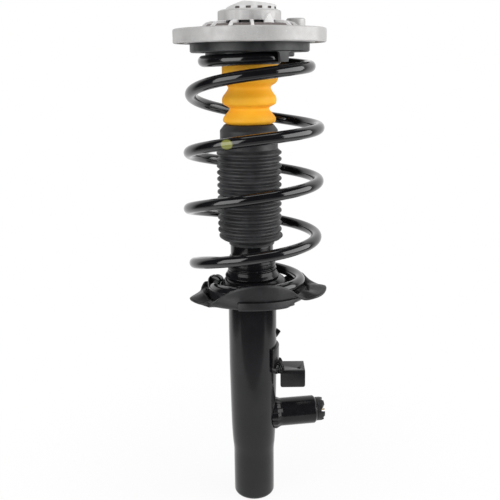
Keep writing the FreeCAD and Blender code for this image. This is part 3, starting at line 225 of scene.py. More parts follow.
BOLT_DEPTH = 11.0

# Cap of the mount
LID_R = 28.0
LID_X = 1.9
LID_ENDS_X = (LID_X - LID_R - 1, LID_X + LID_R + 1)
LID_WALL = 2.0
LID_FLANGE_R = 32.2
LID_SKIRT_H = 2.5
LID_LEFT_Z = TURRET_TOP_Z + 2.4
LID_PEAK_Z = TURRET_TOP_Z + 8.9
LID_RIGHT_Z = TURRET_TOP_Z + 5.8
LID_PEAK_X = -6.8
LID_WINDOW_W = 5.4
LID_WINDOW_H = 2.4

# Side valve
VALVE_Z = 108.5
VALVE_AZ = 9.0
VALVE_R = 17.6
VALVE_WALL = 2.3
VALVE_END = 78.5
PLUG_R = 14.9
PLUG_BORE_R = 10.0
PLUG_FOOT = 71.05
PLUG_END = 90.0
PLUG_TEETH = 6

# Hose bracket on the tube
PLATE_THICK = 3.0
PLATE_X = (33.6, 64.2)
PLATE_Y = (-13.0, 18.5)
PLATE_TOP_Z = 172.6
PLATE_H = 21.5
PLATE_HOLE = (57.0, -4.0, 2.2)     # x, y, radius
SADDLE_THICK = 3.2
SADDLE_Z = (PLATE_TOP_Z + 7.4, PLATE_TOP_Z + 31.4)
SADDLE_ARC = (-42.0, 34.0)
TOOTH_AZ = 6.0
TOOTH_Z = 218.0
WELD_ARC = (-38.0, 22.0)
WELD_REACH = 5.0
WELD_H = 9.2
WELD_RIPPLES = 10


# Small helpers

def smooth(t):
    """Goes from 0 to 1 without a kink, as t does."""
    t = min(max(t, 0.0), 1.0)
    return t * t * (3.0 - 2.0 * t)


def polar(radius, azimuth, z):
    a = math.radians(azimuth)
    return Vector((radius * math.cos(a), radius * math.sin(a), z))


def quarter(steps, first=0):
    """Cosines and sines along a quarter turn."""
    return [(math.cos(a), math.sin(a)) for a in (math.pi / 2 * k / steps for k in range(first, steps + 1))]


def turned(azimuth):
    """Turn about the strut's axis."""
    return Matrix.Rotation(math.radians(azimuth), 4, "Z")


def rib_azimuth(i):
    return RIB_PHASE + 360.0 * i / RIB_COUNT


# Turns +Z into the side valve's axis
ON_VALVE_AXIS = Matrix.Translation((0, 0, VALVE_Z)) @ turned(VALVE_AZ) @ Matrix.Rotation(math.pi / 2, 4, "Y")


def rounded(corners, steps=5):
    """Outline through (radius, height, rounding) corners, each rounded by its own radius."""
    points = []
    n = len(corners)
    for i, (r, z, size) in enumerate(corners):
        here = Vector((r, z))
        before = Vector(corners[i - 1][:2]) - here
        after = Vector(corners[(i + 1) % n][:2]) - here
        turn = math.pi - before.angle(after)
        if size <= 0 or turn < 0.02:
            points.append((r, z))
            continue
        reach = min(size * math.tan(turn / 2), 0.48 * before.length, 0.48 * after.length)
        a = here + before.normalized() * reach
        b = here + after.normalized() * reach
        for k in range(steps + 1):
            t = k / steps
            p = a * (1 - t) ** 2 + here * 2 * t * (1 - t) + b * t ** 2
            points.append((p.x, p.y))
    return points


def spline(points, per_span):
    """Smooth line through points of any number of values."""
    out = []
    last = len(points) - 1
    for i in range(last):
        p = [np.array(points[min(max(j, 0), last)], float) for j in (i - 1, i, i + 1, i + 2)]
        for k in range(per_span):
            t = k / per_span
            out.append(0.5 * (2 * p[1] + (p[2] - p[0]) * t + (2 * p[0] - 5 * p[1] + 4 * p[2] - p[3]) * t ** 2
                              + (3 * p[1] - p[0] - 3 * p[2] + p[3]) * t ** 3))
    return [tuple(v) for v in out] + [tuple(float(v) for v in points[-1])]


def link(name, points, faces, crease=32.0, matrix=None):
    """Object from points in millimetres, with outward faces, smooth but for its sharp edges."""
    mesh = bpy.data.meshes.new(name)
    place = matrix or Matrix.Identity(4)
    mesh.from_pydata([(place @ Vector(p)) * MM for p in points], [], faces)
    piece = bpy.data.objects.new(name, mesh)
    bpy.context.scene.collection.objects.link(piece)
    tidy_mesh(piece, crease)
    return piece


def tidy_mesh(piece, crease=32.0):
    """Welds double points, turns the faces outwards and shades smooth up to the crease angle."""
    edit = bmesh.new()
    edit.from_mesh(piece.data)
    bmesh.ops.remove_doubles(edit, verts=edit.verts, dist=2e-6)
    bmesh.ops.dissolve_degenerate(edit, edges=edit.edges, dist=1e-6)
    bmesh.ops.recalc_face_normals(edit, faces=edit.faces)
    edit.to_mesh(piece.data)
    edit.free()
    piece.data.shade_smooth()
    piece.data.set_sharp_from_angle(angle=math.radians(crease))


def tube_faces(rings, sides, around=False):
    """Faces of a grid of rings by sides, closed around both ways or capped at its ends."""
    faces = []
    for i in range(rings if around else rings - 1):
        j = (i + 1) % rings
        for k in range(sides):
            m = (k + 1) % sides
            faces.append((i * sides + k, i * sides + m, j * sides + m, j * sides + k))
    if not around:
        faces.append(tuple(range(sides - 1, -1, -1)))
        faces.append(tuple((rings - 1) * sides + k for k in range(sides)))
    return faces


def lathe(name, outline, steps=160, matrix=None, arc=None, crease=32.0):
    """Turned piece from a closed (radius, height) outline, all round or over an arc of azimuths."""
    whole = arc is None
    first, last = (0.0, 360.0) if whole else arc
    rings = steps if whole else steps + 1
    points = []
    for i in range(rings):
        a = first + (last - first) * i / steps
        points += [polar(r, a, z) for r, z in outline]
    return link(name, points, tube_faces(rings, len(outline), whole), crease, matrix)


def cylinder(name, radius, z0, z1, steps=160, matrix=None):
    return lathe(name, [(0, z0), (radius, z0), (radius, z1), (0, z1)], steps, matrix)


def slab(name, outline, y0, y1, matrix=None):
    """Plate with an (x, z) outline, from y0 to y1."""
    points = [(x, y, z) for y in (y0, y1) for x, z in outline]
    return link(name, points, tube_faces(2, len(outline)), matrix=matrix)


def pane(width, low, height, below, above, steps):
    """Outline of an upright window whose corners are rounded below and above."""
    half, high = width / 2, low + height
    corners = [(-half, low, below), (half, low, below), (half, high, above), (-half, high, above)]
    return rounded(corners, steps)


def apply_modifiers(piece):
    bpy.context.view_layer.update()
    source = piece.evaluated_get(bpy.context.evaluated_depsgraph_get())
    mesh = bpy.data.meshes.new_from_object(source)
    piece.modifiers.clear()
    old = piece.data
    piece.data = mesh
    mesh.name = piece.name
    bpy.data.meshes.remove(old)


def carve(piece, tool, operation="DIFFERENCE", crease=32.0):
    """Cuts a tool from a piece, joins it on or keeps the common part, and removes the tool."""
    cut = piece.modifiers.new("cut", "BOOLEAN")
    cut.operation = operation
    cut.solver = "EXACT"
    cut.object = tool
    apply_modifiers(piece)
    bpy.data.objects.remove(tool)
    tidy_mesh(piece, crease)


def bevel(piece, width, segments=3, angle=35.0):
    cut = piece.modifiers.new("bevel", "BEVEL")
    cut.width = width * MM
    cut.segments = segments
    cut.limit_method = "ANGLE"
    cut.angle_limit = math.radians(angle)
    cut.use_clamp_overlap = True
    apply_modifiers(piece)
    tidy_mesh(piece)


def join(name, parts):
    """One object from several that don't touch."""
    edit = bmesh.new()
    for part in parts:
        edit.from_mesh(part.data)
        bpy.data.objects.remove(part)
    mesh = bpy.data.meshes.new(name)
    edit.to_mesh(mesh)
    edit.free()
    piece = bpy.data.objects.new(name, mesh)
    bpy.context.scene.collection.objects.link(piece)
    tidy_mesh(piece)
    return piece


def reshape(piece, move, place=Matrix.Identity(4)):
    """Moves points by a rule told in millimetres, in the frame of a place.

    A point that the rule gives back as it is stays untouched.
    """
    back = place.inverted()
    for vertex in piece.data.vertices:
        old = back @ (vertex.co / MM)
        new = move(old)
        if new is not old:
            vertex.co = (place @ new) * MM


def dress(piece, body, slot, *nodes, finish=None):
    """Gives a piece its finish and its body, and hides the plain solids that it stands for."""
    piece.data.materials.clear()
    piece.data.materials.append(FINISHES[finish or slot])
    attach(piece, body)
    if nodes:
        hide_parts(*nodes)
    return piece


def second_finish(piece, finish, where):
    """Gives another finish to the faces whose middle, in millimetres, passes a test."""
    piece.data.materials.append(FINISHES[finish])
    for face in piece.data.polygons:
        if where(face.center / MM):
            face.material_index = 1


def node(tree, kind, inputs=None, **settings):
    """New shader node, with each of its inputs linked to a socket or set to a value."""
    made = tree.nodes.new("ShaderNode" + kind)
    for name, value in settings.items():
        setattr(made, name, value)
    for name, value in (inputs or {}).items():
        if isinstance(value, bpy.types.NodeSocket):
            tree.links.new(value, made.inputs[name])
        else:
            made.inputs[name].default_value = value
    return made


def band(tree, source, low, high, out_low=0.0, out_high=1.0, **settings):
    """Maps low..high of a value to out_low..out_high."""
    return node(tree, "MapRange", {"Value": source, "From Min": low, "From Max": high, "To Min": out_low,
                                   "To Max": out_high}, **settings).outputs["Result"]


def largest(tree, last, *others):
    """Largest of several values."""
    for other in others:
        last = node(tree, "Math", {0: last, 1: other}, operation="MAXIMUM").outputs[0]
    return last


# Materials

FINISHES = {}


class Surface:
    """A principled material whose colour, gloss and relief come from layered noise.

    Sizes of patches and depths of relief are in millimetres. Each layer's band says between which values of
    the noise it fades in.
    """

    def __init__(self, name, roughness, base, metallic=0.0, specular=0.5):
        FINISHES[name] = bpy.data.materials.new(name)
        FINISHES[name].use_nodes = True
        self.tree = FINISHES[name].node_tree
        self.shader = self.tree.nodes["Principled BSDF"].inputs
        self.shader["Metallic"].default_value = metallic
        self.shader["Roughness"].default_value = roughness
        self.shader["Specular IOR Level"].default_value = specular
        self.place = self.node("TexCoord").outputs["Object"]
        self.colour = self.node("RGB").outputs[0]
        self.colour.default_value = (*base, 1)
        self.tree.links.new(self.colour, self.shader["Base Color"])

    def node(self, kind, inputs=None, **settings):
        return node(self.tree, kind, inputs, **settings)

    def spread(self, scale, stretch=(1, 1, 1)):
        """Coordinates in which `scale` millimetres are one unit."""
        values = [1000.0 / scale / s for s in stretch]
        return self.node("Mapping", {"Vector": self.place, "Scale": values}).outputs["Vector"]

    def noise(self, scale, detail=3.0, roughness=0.5, stretch=(1, 1, 1)):
        return self.node("TexNoise", {"Vector": self.spread(scale, stretch), "Scale": 1.0, "Detail": detail,
                                      "Roughness": roughness}).outputs["Fac"]

    def cells(self, scale):
        return self.node("TexVoronoi", {"Vector": self.spread(scale), "Scale": 1.0}).outputs["Distance"]

    def paint(self, colour, source, low, high, out_low=0.0, out_high=1.0):
        """Lays a colour over the ones before it, in the share that a band of a value gives."""
        share = band(self.tree, source, low, high, out_low, out_high)
        mix = self.node("Mix", {"Factor": share, "A": self.colour, "B": (*colour, 1)}, data_type="RGBA")
        self.colour = mix.outputs["Result"]
        self.tree.links.new(self.colour, self.shader["Base Color"])
        return self

    def patches(self, colour, scale, detail, low, high, share=1.0, roughness=0.5):
        return self.paint(colour, self.noise(scale, detail, roughness), low, high, 0.0, share)

    def worn_lit_edges(self, colour, low, high, share=1.0):
        """A paler colour on the convex edges: partly wear, partly a painted highlight along them."""
        return self.paint(colour, self.node("NewGeometry").outputs["Pointiness"], low, high, 0.0, share)

    def mark(self, colour, name, low, high):
        """A colour where an attribute of the mesh lies in the band or above it."""
        return self.paint(colour, self.node("Attribute", attribute_name=name).outputs["Fac"], low, high)

    def gloss(self, scale, detail, rough_low, rough_high):
        rough = band(self.tree, self.noise(scale, detail), 0.3, 0.7, rough_low, rough_high)
        self.tree.links.new(rough, self.shader["Roughness"])
        return self

    def relief(self, source, depth, strength):
        """Adds relief on top of the relief before it."""
        bump = self.node("Bump", {"Height": source, "Distance": depth * MM, "Strength": strength})
        normal = self.shader["Normal"]
        if normal.is_linked:
            self.tree.links.new(normal.links[0].from_socket, bump.inputs["Normal"])
        self.tree.links.new(bump.outputs["Normal"], normal)
        return self

    def grain(self, scale, detail, depth, strength, roughness=0.5, stretch=(1, 1, 1)):
        return self.relief(self.noise(scale, detail, roughness, stretch), depth, strength)


def mix_paints():
    # Thin gloss black over drawn steel, a little uneven
    tube = Surface("satin_charcoal_paint", 0.16, (0.0055, 0.0055, 0.0065), specular=0.38)
    tube.patches((0.0085, 0.0085, 0.0100), 38, 3, 0.42, 0.66).worn_lit_edges((0.045, 0.045, 0.048), 0.53, 0.62, 0.4)
    tube.patches((0.07, 0.07, 0.07), 1.6, 2, 0.745, 0.77, 0.4).gloss(30, 4, 0.10, 0.20)
    tube.grain(26, 2, 0.10, 0.5, 0.4).grain(2.6, 2, 0.008, 0.3)

    black = Surface("black_paint", 0.18, (0.006, 0.006, 0.007), specular=0.3)
    black.patches((0.010, 0.010, 0.0115), 22, 3, 0.42, 0.68).worn_lit_edges((0.05, 0.05, 0.052), 0.53, 0.62, 0.5)
    black.patches((0.035, 0.035, 0.037), 1.4, 3, 0.66, 0.74, 0.5).gloss(13, 4, 0.12, 0.26)
    black.grain(5.0, 3, 0.05, 0.3).grain(1.6, 2, 0.012, 0.3)

    # The pressed seat is painted duller than the tube
    seat = Surface("seat_paint", 0.42, (0.016, 0.016, 0.017), specular=0.4)
    seat.patches((0.024, 0.024, 0.026), 24, 3, 0.42, 0.68).worn_lit_edges((0.09, 0.09, 0.094), 0.53, 0.62, 0.6)
    seat.patches((0.075, 0.075, 0.08), 1.3, 3, 0.69, 0.75, 0.5).gloss(14, 4, 0.34, 0.50)
    seat.grain(1.6, 2, 0.02, 0.35)

    # Near-black matt paint for the strip that draws a painted shadow line along the stay's lip
    seam = Surface("seam_shade", 0.8, (0.0035, 0.0035, 0.004), specular=0.12)
    seam.patches((0.007, 0.007, 0.0075), 5, 3, 0.42, 0.68).grain(1.6, 2, 0.02, 0.35)

    spring = Surface("spring_coating", 0.10, (0.005, 0.005, 0.006), specular=0.7)
    spring.patches((0.008, 0.008, 0.0095), 30, 3, 0.42, 0.66).mark((0.10, 0.11, 0.03), "dab", 0.90, 0.98)
    spring.mark((0.23, 0.24, 0.055), "dab", 1.00, 1.10).gloss(18, 4, 0.07, 0.13).grain(3.4, 2, 0.010, 0.35)


def mix_castings():
    cast = Surface("cast_aluminium", 0.55, (0.47, 0.465, 0.46), metallic=0.35, specular=0.4)
    cast.patches((0.55, 0.545, 0.54), 20, 4, 0.40, 0.66)
    cast.patches((0.36, 0.355, 0.35), 1.1, 4, 0.50, 0.72, 0.6, 0.7)
    # Tiny pale specks: painted glints of the metal grain
    cast.patches((0.80, 0.80, 0.79), 1.5, 2, 0.70, 0.73, 0.8).worn_lit_edges((0.66, 0.655, 0.65), 0.51, 0.60)
    cast.gloss(6, 4, 0.46, 0.62).grain(0.9, 4, 0.06, 0.5, 0.65).grain(4.5, 3, 0.08, 0.3)

    # Paler copy of the casting, as a painted highlight on the fins' thin walls and along the web's foot
    fins = Surface("painted_lit_casting", 0.6, (0.74, 0.735, 0.73), metallic=0.1, specular=0.3)
    fins.patches((0.80, 0.795, 0.79), 6, 4, 0.40, 0.66)
    fins.patches((0.55, 0.54, 0.53), 1.2, 3, 0.56, 0.74, 0.6, 0.6)
    fins.gloss(6, 4, 0.52, 0.66).grain(0.9, 4, 0.05, 0.5, 0.65)

    # Rough dark copy of the casting, as painted shade between the fins and in the lid's slots
    shaded = Surface("painted_shade_casting", 0.75, (0.150, 0.128, 0.124), specular=0.2)
    shaded.patches((0.215, 0.195, 0.190), 3.0, 4, 0.42, 0.66, 1.0, 0.6)
    shaded.gloss(4, 3, 0.66, 0.84).grain(0.9, 4, 0.08, 0.6, 0.6)


def mix_plastics():
    cap = Surface("cap_plastic", 0.45, (0.57, 0.57, 0.565))
    cap.patches((0.66, 0.66, 0.655), 9, 3, 0.40, 0.66).gloss(5, 3, 0.38, 0.52).grain(1.2, 3, 0.02, 0.4)

    rubber = Surface("black_rubber", 0.42, (0.012, 0.013, 0.014))
    rubber.patches((0.026, 0.027, 0.029), 12, 4, 0.42, 0.70).worn_lit_edges((0.05, 0.05, 0.052), 0.52, 0.60, 0.6)
    rubber.gloss(9, 4, 0.34, 0.52).grain(0.8, 3, 0.02, 0.4)

    # The lower pad is of a shinier rubber
    pad = Surface("pad_rubber", 0.2, (0.011, 0.011, 0.013))
    pad.patches((0.022, 0.022, 0.025), 14, 4, 0.42, 0.70).gloss(9, 4, 0.14, 0.28).grain(2.4, 3, 0.03, 0.4)

    foam = Surface("urethane_yellow", 0.62, (0.97, 0.445, 0.016), specular=0.35)
    foam.patches((1.0, 0.51, 0.028), 18, 3, 0.40, 0.68)
    foam.paint((0.76, 0.31, 0.010), foam.cells(1.1), 0.0, 0.28, 0.2, 0.0)
    foam.gloss(5, 3, 0.52, 0.72).relief(foam.cells(0.9), 0.08, 0.35).grain(5, 3, 0.10, 0.3)

    boot = Surface("boot_plastic", 0.5, (0.022, 0.022, 0.024))
    boot.patches((0.040, 0.040, 0.043), 16, 4, 0.42, 0.68).worn_lit_edges((0.085, 0.085, 0.088), 0.52, 0.60, 0.6)
    boot.patches((0.12, 0.12, 0.12), 2.2, 3, 0.70, 0.74, 0.35).gloss(8, 4, 0.42, 0.60)
    boot.grain(1.3, 3, 0.03, 0.4)

    plug = Surface("black_plastic", 0.42, (0.012, 0.012, 0.013), specular=0.35)
    plug.patches((0.022, 0.022, 0.024), 10, 3, 0.42, 0.68).worn_lit_edges((0.06, 0.06, 0.062), 0.52, 0.60, 0.5)
    plug.gloss(7, 3, 0.34, 0.50).grain(0.7, 2, 0.02, 0.4)


def mix_metals():
    for name, colour, dark, roughness, *stretch in (
        ("plain_steel", (0.42, 0.42, 0.43), (0.30, 0.30, 0.31), 0.38),
        ("chromed_rod", (0.66, 0.67, 0.69), (0.58, 0.59, 0.61), 0.12, (1, 1, 0.1)),
        ("sintered_iron", (0.22, 0.215, 0.21), (0.14, 0.14, 0.14), 0.55),
        ("bronze_band", (0.45, 0.30, 0.14), (0.34, 0.21, 0.09), 0.42),
        ("brass_pin", (0.70, 0.52, 0.22), (0.55, 0.38, 0.14), 0.25),
        ("galvanised", (0.56, 0.57, 0.58), (0.44, 0.45, 0.47), 0.42),
        ("bearing_plastic", (0.20, 0.19, 0.17), (0.15, 0.14, 0.13), 0.5),
    ):
        bare = Surface(name, roughness, colour, metallic=1.0).patches(dark, 7, 4, 0.42, 0.72)
        bare.gloss(5, 4, roughness * 0.8, roughness * 1.25).grain(0.8, 3, 0.02, 0.4, 0.6, *stretch)


def dress_frame():
    """The pieces inside keep the frame's own meshes, each with the finish of its material slot."""
    for solid in frame["nodes"].values():
        for place in solid.material_slots:
            slot = place.material.name.split(".")[0]
            place.material = FINISHES.get(slot, FINISHES["plain_steel"])


# Coil spring

def bulge(s, size, middle, half):
    """Reaches its size at the middle turn, and is gone half its width to either side."""
    t = min(abs(s - middle) / half, 1.0)
    return size * (1.0 - t * t) ** 2


def ramp_area(s, start, length):
    """Area up to s under a line that climbs smoothly from 0 to 1."""
    t = min(max((s - start) / length, 0.0), 1.0)
    past = max(s - start - length, 0.0)
    return length * (t ** 3 - t ** 4 / 2) + past


def steep_turns(s):
    """How many of the first s turns run at the full pitch: none at either end, all between."""
    return ramp_area(s, *TOP_RISE) - ramp_area(s, *LOW_RISE)


LOW_END_Z = DISH_FLOOR_Z + LOW_PAD_FLOOR + WIRE_R
EXTRA_PITCH = (TOP_END_Z - LOW_END_Z - END_PITCH * COIL_TURNS) / steep_turns(COIL_TURNS)


def coil_point(s):
    """Middle of the wire after s turns down from the top end."""
    grown = smooth((s - TOP_GROW[0]) / TOP_GROW[1])
    shrunk = smooth((s - LOW_SHRINK[0]) / LOW_SHRINK[1])
    r = TOP_COIL_R + (COIL_R - TOP_COIL_R) * grown - (COIL_R - LOW_COIL_R) * shrunk
    a = math.radians(TOP_END_AZ) - 2 * math.pi * s
    x = r * math.cos(a) + COIL_X - bulge(s, *COIL_BOW)
    y = r * math.sin(a)
    drop = END_PITCH * s + EXTRA_PITCH * steep_turns(s) + bulge(s, *COIL_SAG)
    lean = COIL_TILT * smooth((s - TILT_GROW[0]) / TILT_GROW[1])
    return Vector((x, y, TOP_END_Z - drop + bulge(s, *COIL_LIE) - lean * y))


def wire_ring(s, radius):
    """One ring of points round the wire."""
    middle = coil_point(s)
    along = (coil_point(s + 1e-4) - coil_point(s - 1e-4)).normalized()
    side = along.cross(Vector((0, 0, 1))).normalized()
    up = side.cross(along)
    ring = []
    for k in range(WIRE_SIDES):
        a = 2 * math.pi * k / WIRE_SIDES
        ring.append(middle + radius * (math.cos(a) * side + math.sin(a) * up))
    return ring


def wire_bore(first, last, rings, radius):
    """The wire from one turn to another, thickened, to cut its seat in rubber."""
    points = []
    for i in range(rings + 1):
        points += wire_ring(first + (last - first) * i / rings, radius)
    return link("wire_bore", points, tube_faces(rings + 1, WIRE_SIDES))


DAB_AT = coil_point(2.152)     # middle of the paint mark on the wire
DAB_SIZE = (6.2, 5.4)


def coil_spring():
    count = int(COIL_TURNS * WIRE_RINGS_PER_TURN)
    turns = [COIL_TURNS * i / count for i in range(count + 1)]
    turn_length = 2 * math.pi * LOW_COIL_R
    chamfer = [(0.0, WIRE_R - 1.2), (0.4 / turn_length, WIRE_R - 0.5), (1.2 / turn_length, WIRE_R)]
    rows = [(s, r) for s, r in chamfer] + [(s, WIRE_R) for s in turns[1:-1]]
    rows += [(COIL_TURNS - s, r) for s, r in reversed(chamfer)]
    points = []
    for s, r in rows:
        points += wire_ring(s, r)
    piece = link("coil_wire", points, tube_faces(len(rows), WIRE_SIDES), 40.0)
    dab = piece.data.attributes.new("dab", "FLOAT", "POINT")
    values = []
    for vertex in piece.data.vertices:
        away = vertex.co / MM - DAB_AT
        reach = math.hypot(away.x / DAB_SIZE[0], away.z / DAB_SIZE[1])
        values.append(max(0.0, 2.0 - reach) if away.y < 2 else 0.0)
    dab.data.foreach_set("value", values)
    piece.data.materials.append(FINISHES["spring_coating"])
    share_stroke(piece, rows)
    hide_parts("coil_spring")
    return piece


def share_stroke(piece, rows):
    """Puts each ring of the wire, for a while, at the height between 0 and 1 whose smoothstep equals the
    ring's share of the free turns above the seat, bakes the object's placing into the mesh there, and then
    gives the wire its shape back.
    """
    shape = [vertex.co.copy() for vertex in piece.data.vertices]
    free = steep_turns(COIL_TURNS)
    for i, (s, _) in enumerate(rows):
        share = 1.0 - steep_turns(s) / free
        height = 0.5 - math.sin(math.asin(1.0 - 2.0 * share) / 3.0)
        for k in range(WIRE_SIDES):
            piece.data.vertices[i * WIRE_SIDES + k].co = (0, 0, height)
    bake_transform(piece)
    for vertex, place in zip(piece.data.vertices, shape):
        vertex.co = place
    piece.data.update()


# Outer tube

def strut_tube():
    outer = [(0, 0)] + [(CLAMP_R - BASE_ROUND * (1 - s), BASE_ROUND * (1 - c)) for c, s in quarter(10)]
    outer += [(CLAMP_R, z) for z in (20, 35, 50)] + spline(SWAGE, 5)
    outer += [(BODY_R, z) for z in (200, 220, 240, 260, 280)]
    outer += [(BODY_R, SHOULDER_Z - 1), (BODY_R - 0.3, SHOULDER_Z + 0.6)]
    outer += [(NECK_R + 0.3, SHOULDER_Z + SHOULDER_H - 0.6), (NECK_R, SHOULDER_Z + SHOULDER_H + 1)]
    outer += [(NECK_R, 330), (NECK_R, TUBE_TOP_Z - 2.0), (NECK_R - 0.6, TUBE_TOP_Z - 0.6),
              (NECK_R - 2.0, TUBE_TOP_Z), (CRIMP_R, TUBE_TOP_Z), (CRIMP_R, TUBE_TOP_Z - 2.5)]
    inner = [(NECK_R - TUBE_WALL, TUBE_TOP_Z - 2.5), (NECK_R - TUBE_WALL, SHOULDER_Z + SHOULDER_H)]
    inner += [(BODY_R - TUBE_WALL, SHOULDER_Z), (BODY_R - TUBE_WALL, 180)]
    inner += [(r - TUBE_WALL, z) for r, z in reversed(SWAGE[:-1])]
    inner += [(CLAMP_R - TUBE_WALL, BASE_THICK), (0, BASE_THICK)]
    piece = lathe("tube_shell", outer + inner, 192)
    return dress(piece, "strut_body", "satin_charcoal_paint", "strut_tube")


def seat_collar():
    z = COLLAR_LOW_Z
    outline = rounded([
        (BODY_R + 0.15, z, 0.3), (32.3, z, 0.8), (32.5, z + 1.4, 1.0), (30.2, z + 4.8, 3.0),
        (29.0, z + 8.4, 1.2), (29.2, z + 10.4, 1.0), (27.7, z + 11.8, 0.8), (28.3, z + 13.6, 1.0),
        (28.3, z + 17.0, 1.0), (27.3, z + 18.6, 1.2), (27.0, COLLAR_TOP_Z, 0.8),
        (NECK_R + 0.05, COLLAR_TOP_Z, 0.2), (NECK_R + 0.05, SHOULDER_Z + SHOULDER_H + 1, 0),
        (BODY_R + 0.15, SHOULDER_Z + 0.5, 0),
    ])
    return dress(lathe("shoulder_collar", outline), "strut_body", "black_paint", "seat_collar")


# Lower spring seat

def rim_at(azimuth):
    """Radius and height of the dish's rim, on a smooth line through DISH_RIM."""
    n = len(DISH_RIM)
    table = [(a + lap, r, z) for lap in (360, 0, -360) for a, r, z in DISH_RIM]
    a = DISH_RIM[0][0] - (DISH_RIM[0][0] - azimuth) % 360
    i = next(k for k in range(n, 2 * n) if table[k][0] >= a > table[k + 1][0])
    near = table[i - 1:i + 3]
    w0, w1, w2 = (near[k][0] - near[k + 1][0] for k in range(3))
    t = (near[1][0] - a) / w1
    out = []
    for column in (1, 2):
        p0, p1, p2, p3 = (row[column] for row in near)
        m1 = (p2 - p0) / (w0 + w1) * w1
        m2 = (p3 - p1) / (w1 + w2) * w1
        out.append((2 * t ** 3 - 3 * t ** 2 + 1) * p1 + (t ** 3 - 2 * t ** 2 + t) * m1
                   + (3 * t ** 2 - 2 * t ** 3) * p2 + (t ** 3 - t ** 2) * m2)
    return out


def dish_section(azimuth):
    """Top surface of the dish along one azimuth, as (radius, height, shift along X)."""
    s = math.sin(math.radians(azimuth))
    hub = [
        (BODY_R + 0.05, DISH_TOP_Z, 0.0, 0.0), (BODY_R + 3.8, DISH_TOP_Z - 1.0, 1.5, 0.0),
        (BODY_R + 7.8, DISH_TOP_Z - 4.5, 3.0, 0.3), (HUB_FOOT_R - 6.4, DISH_FLOOR_Z + 12.0, COIL_X, 0.6),
        (HUB_FOOT_R - 5.4, DISH_FLOOR_Z + 5.0, COIL_X, 0.9),
        (HUB_FOOT_R - 3.4, DISH_FLOOR_Z + 1.0, COIL_X, 1.0),
        (HUB_FOOT_R, DISH_FLOOR_Z, COIL_X, 1.0), (DISH_FLOOR_R, DISH_FLOOR_Z, COIL_X, 1.0),
    ]
    out = [(r, z - COIL_TILT * lean * r * s, shift) for r, z, shift, lean in hub]
    rim_r, rim_z = rim_at(azimuth)
    foot_z = DISH_FLOOR_Z - COIL_TILT * DISH_FLOOR_R * s
    wing = smooth((rim_r - 64.0) / 10.0)
    turn = azimuth % 360 - 360
    swell = smooth((-146.0 - turn) / 14.0) * (1.0 - smooth((-192.0 - turn) / 8.0))
    swell += 1.1 * smooth((turn + 50.0) / 12.0) * (1.0 - smooth((turn + 24.0) / 14.0))
    for bowl, flap, shift, up in DISH_STEPS:
        part_r, part_z = (b + (f - b) * wing for b, f in zip(bowl, flap))
        r = DISH_FLOOR_R + (rim_r - DISH_FLOOR_R) * part_r
        out.append((r, foot_z + (rim_z - foot_z) * part_z + up * swell, shift))
    return out


def apron(azimuth, r, z):
    """How far the dish's underside swells out and down at the front left, below its wall."""
    turn = azimuth % 360 - 360
    share = smooth((turn + 152) / 12) * smooth((-98 - turn) / 8)
    share *= smooth((r - 50.0) / 7.0) * (1.0 - smooth((z - 272.0) / 14.0))
    return 3.2 * share, -2.6 * share


def spring_dish():
    azimuths = [-1.5 * i for i in range(240)]
    points = []
    for a in azimuths:
        top = spline(dish_section(a), 3)
        last = len(top) - 1
        under = []
        for i, (r, z, shift) in enumerate(top):
            before, after = top[max(i - 1, 0)], top[min(i + 1, last)]
            dr, dz = after[0] - before[0], after[1] - before[1]
            size = math.hypot(dr, dz)
            if i == 0:
                dr, dz, size = 1.0, 0.0, 1.0
            low_r, low_z = r + dz / size * DISH_THICK, z - dr / size * DISH_THICK
            out_by, down_by = apron(a, low_r, low_z)
            under.append((low_r + out_by, low_z + down_by, shift))
        edge_t, edge_u = np.array(top[-1]), np.array(under[-1])
        out = np.array(top[-1]) - np.array(top[-2])
        out = out / np.linalg.norm(out) * 0.9
        lip = [tuple(edge_t * (1 - down) + edge_u * down + out * by)
               for down, by in ((0.06, -0.3), (0.2, 0.15), (0.8, 0.15), (0.94, -0.3))]
        section = top[:-1] + lip + under[-2::-1]
        for r, z, shift in section:
            p = polar(r, a, z)
            points.append((p.x + shift, p.y, p.z))
    sides = len(points) // len(azimuths)
    piece = link("seat_dish", points, tube_faces(len(azimuths), sides, True), 45.0)
    dress(piece, "strut_body", "black_paint", "lower_spring_seat", finish="seat_paint")
    second_finish(piece, "black_paint", lambda p: math.hypot(p.x, p.y) < HUB_FOOT_R - 1.5)
    return piece


def seat_tilt(shift=0.0):
    """Leans a shape towards the back as the spring's seat does, at the dish floor's height."""
    lean = Matrix.Rotation(-math.atan(COIL_TILT), 4, "X")
    return Matrix.Translation((shift, 0, DISH_FLOOR_Z)) @ lean


def seat_stay():
    z0, z1 = STAY_LOW, STAY_LOW + STAY_THICK
    plate = lathe("stay_plate", rounded([
        (BODY_R + 0.1, z0 - STAY_FOOT_H, 0.8), (BODY_R + 3, z0 - STAY_FOOT_H, 1.2),
        (BODY_R + 5, z0, 2.0), (STAY_R, z0, 1.2), (STAY_R, z1, 1.2), (BODY_R + 0.1, z1, 0),
    ]), 72, seat_tilt(), STAY_ARC)
    lip_r = STAY_LIP_IN_R + STAY_LIP_THICK
    lip = lathe("stay_lip", rounded([
        (STAY_R - 4, z0 + 0.01, 0.2), (lip_r, z0 + 0.01, 2.6), (lip_r, z0 + STAY_LIP_H, 0.5),
        (lip_r - 1.1, z0 + STAY_LIP_H, 0.4), (STAY_LIP_IN_R + 0.2, z0 + STAY_LIP_H - 3.4, 0.4),
        (STAY_LIP_IN_R, z1 - 0.01, 0.8), (STAY_R - 4, z1 - 0.01, 0.2),
    ]), 60, seat_tilt(), LIP_ARC)
    reshape(plate, trim_stay, seat_tilt())
    reshape(lip, tear_lip, seat_tilt())
    carve(plate, lip, "UNION")
    plate.name = "seat_stay"
    return dress(plate, "strut_body", "black_paint", "seat_stiffener", finish="seat_paint")


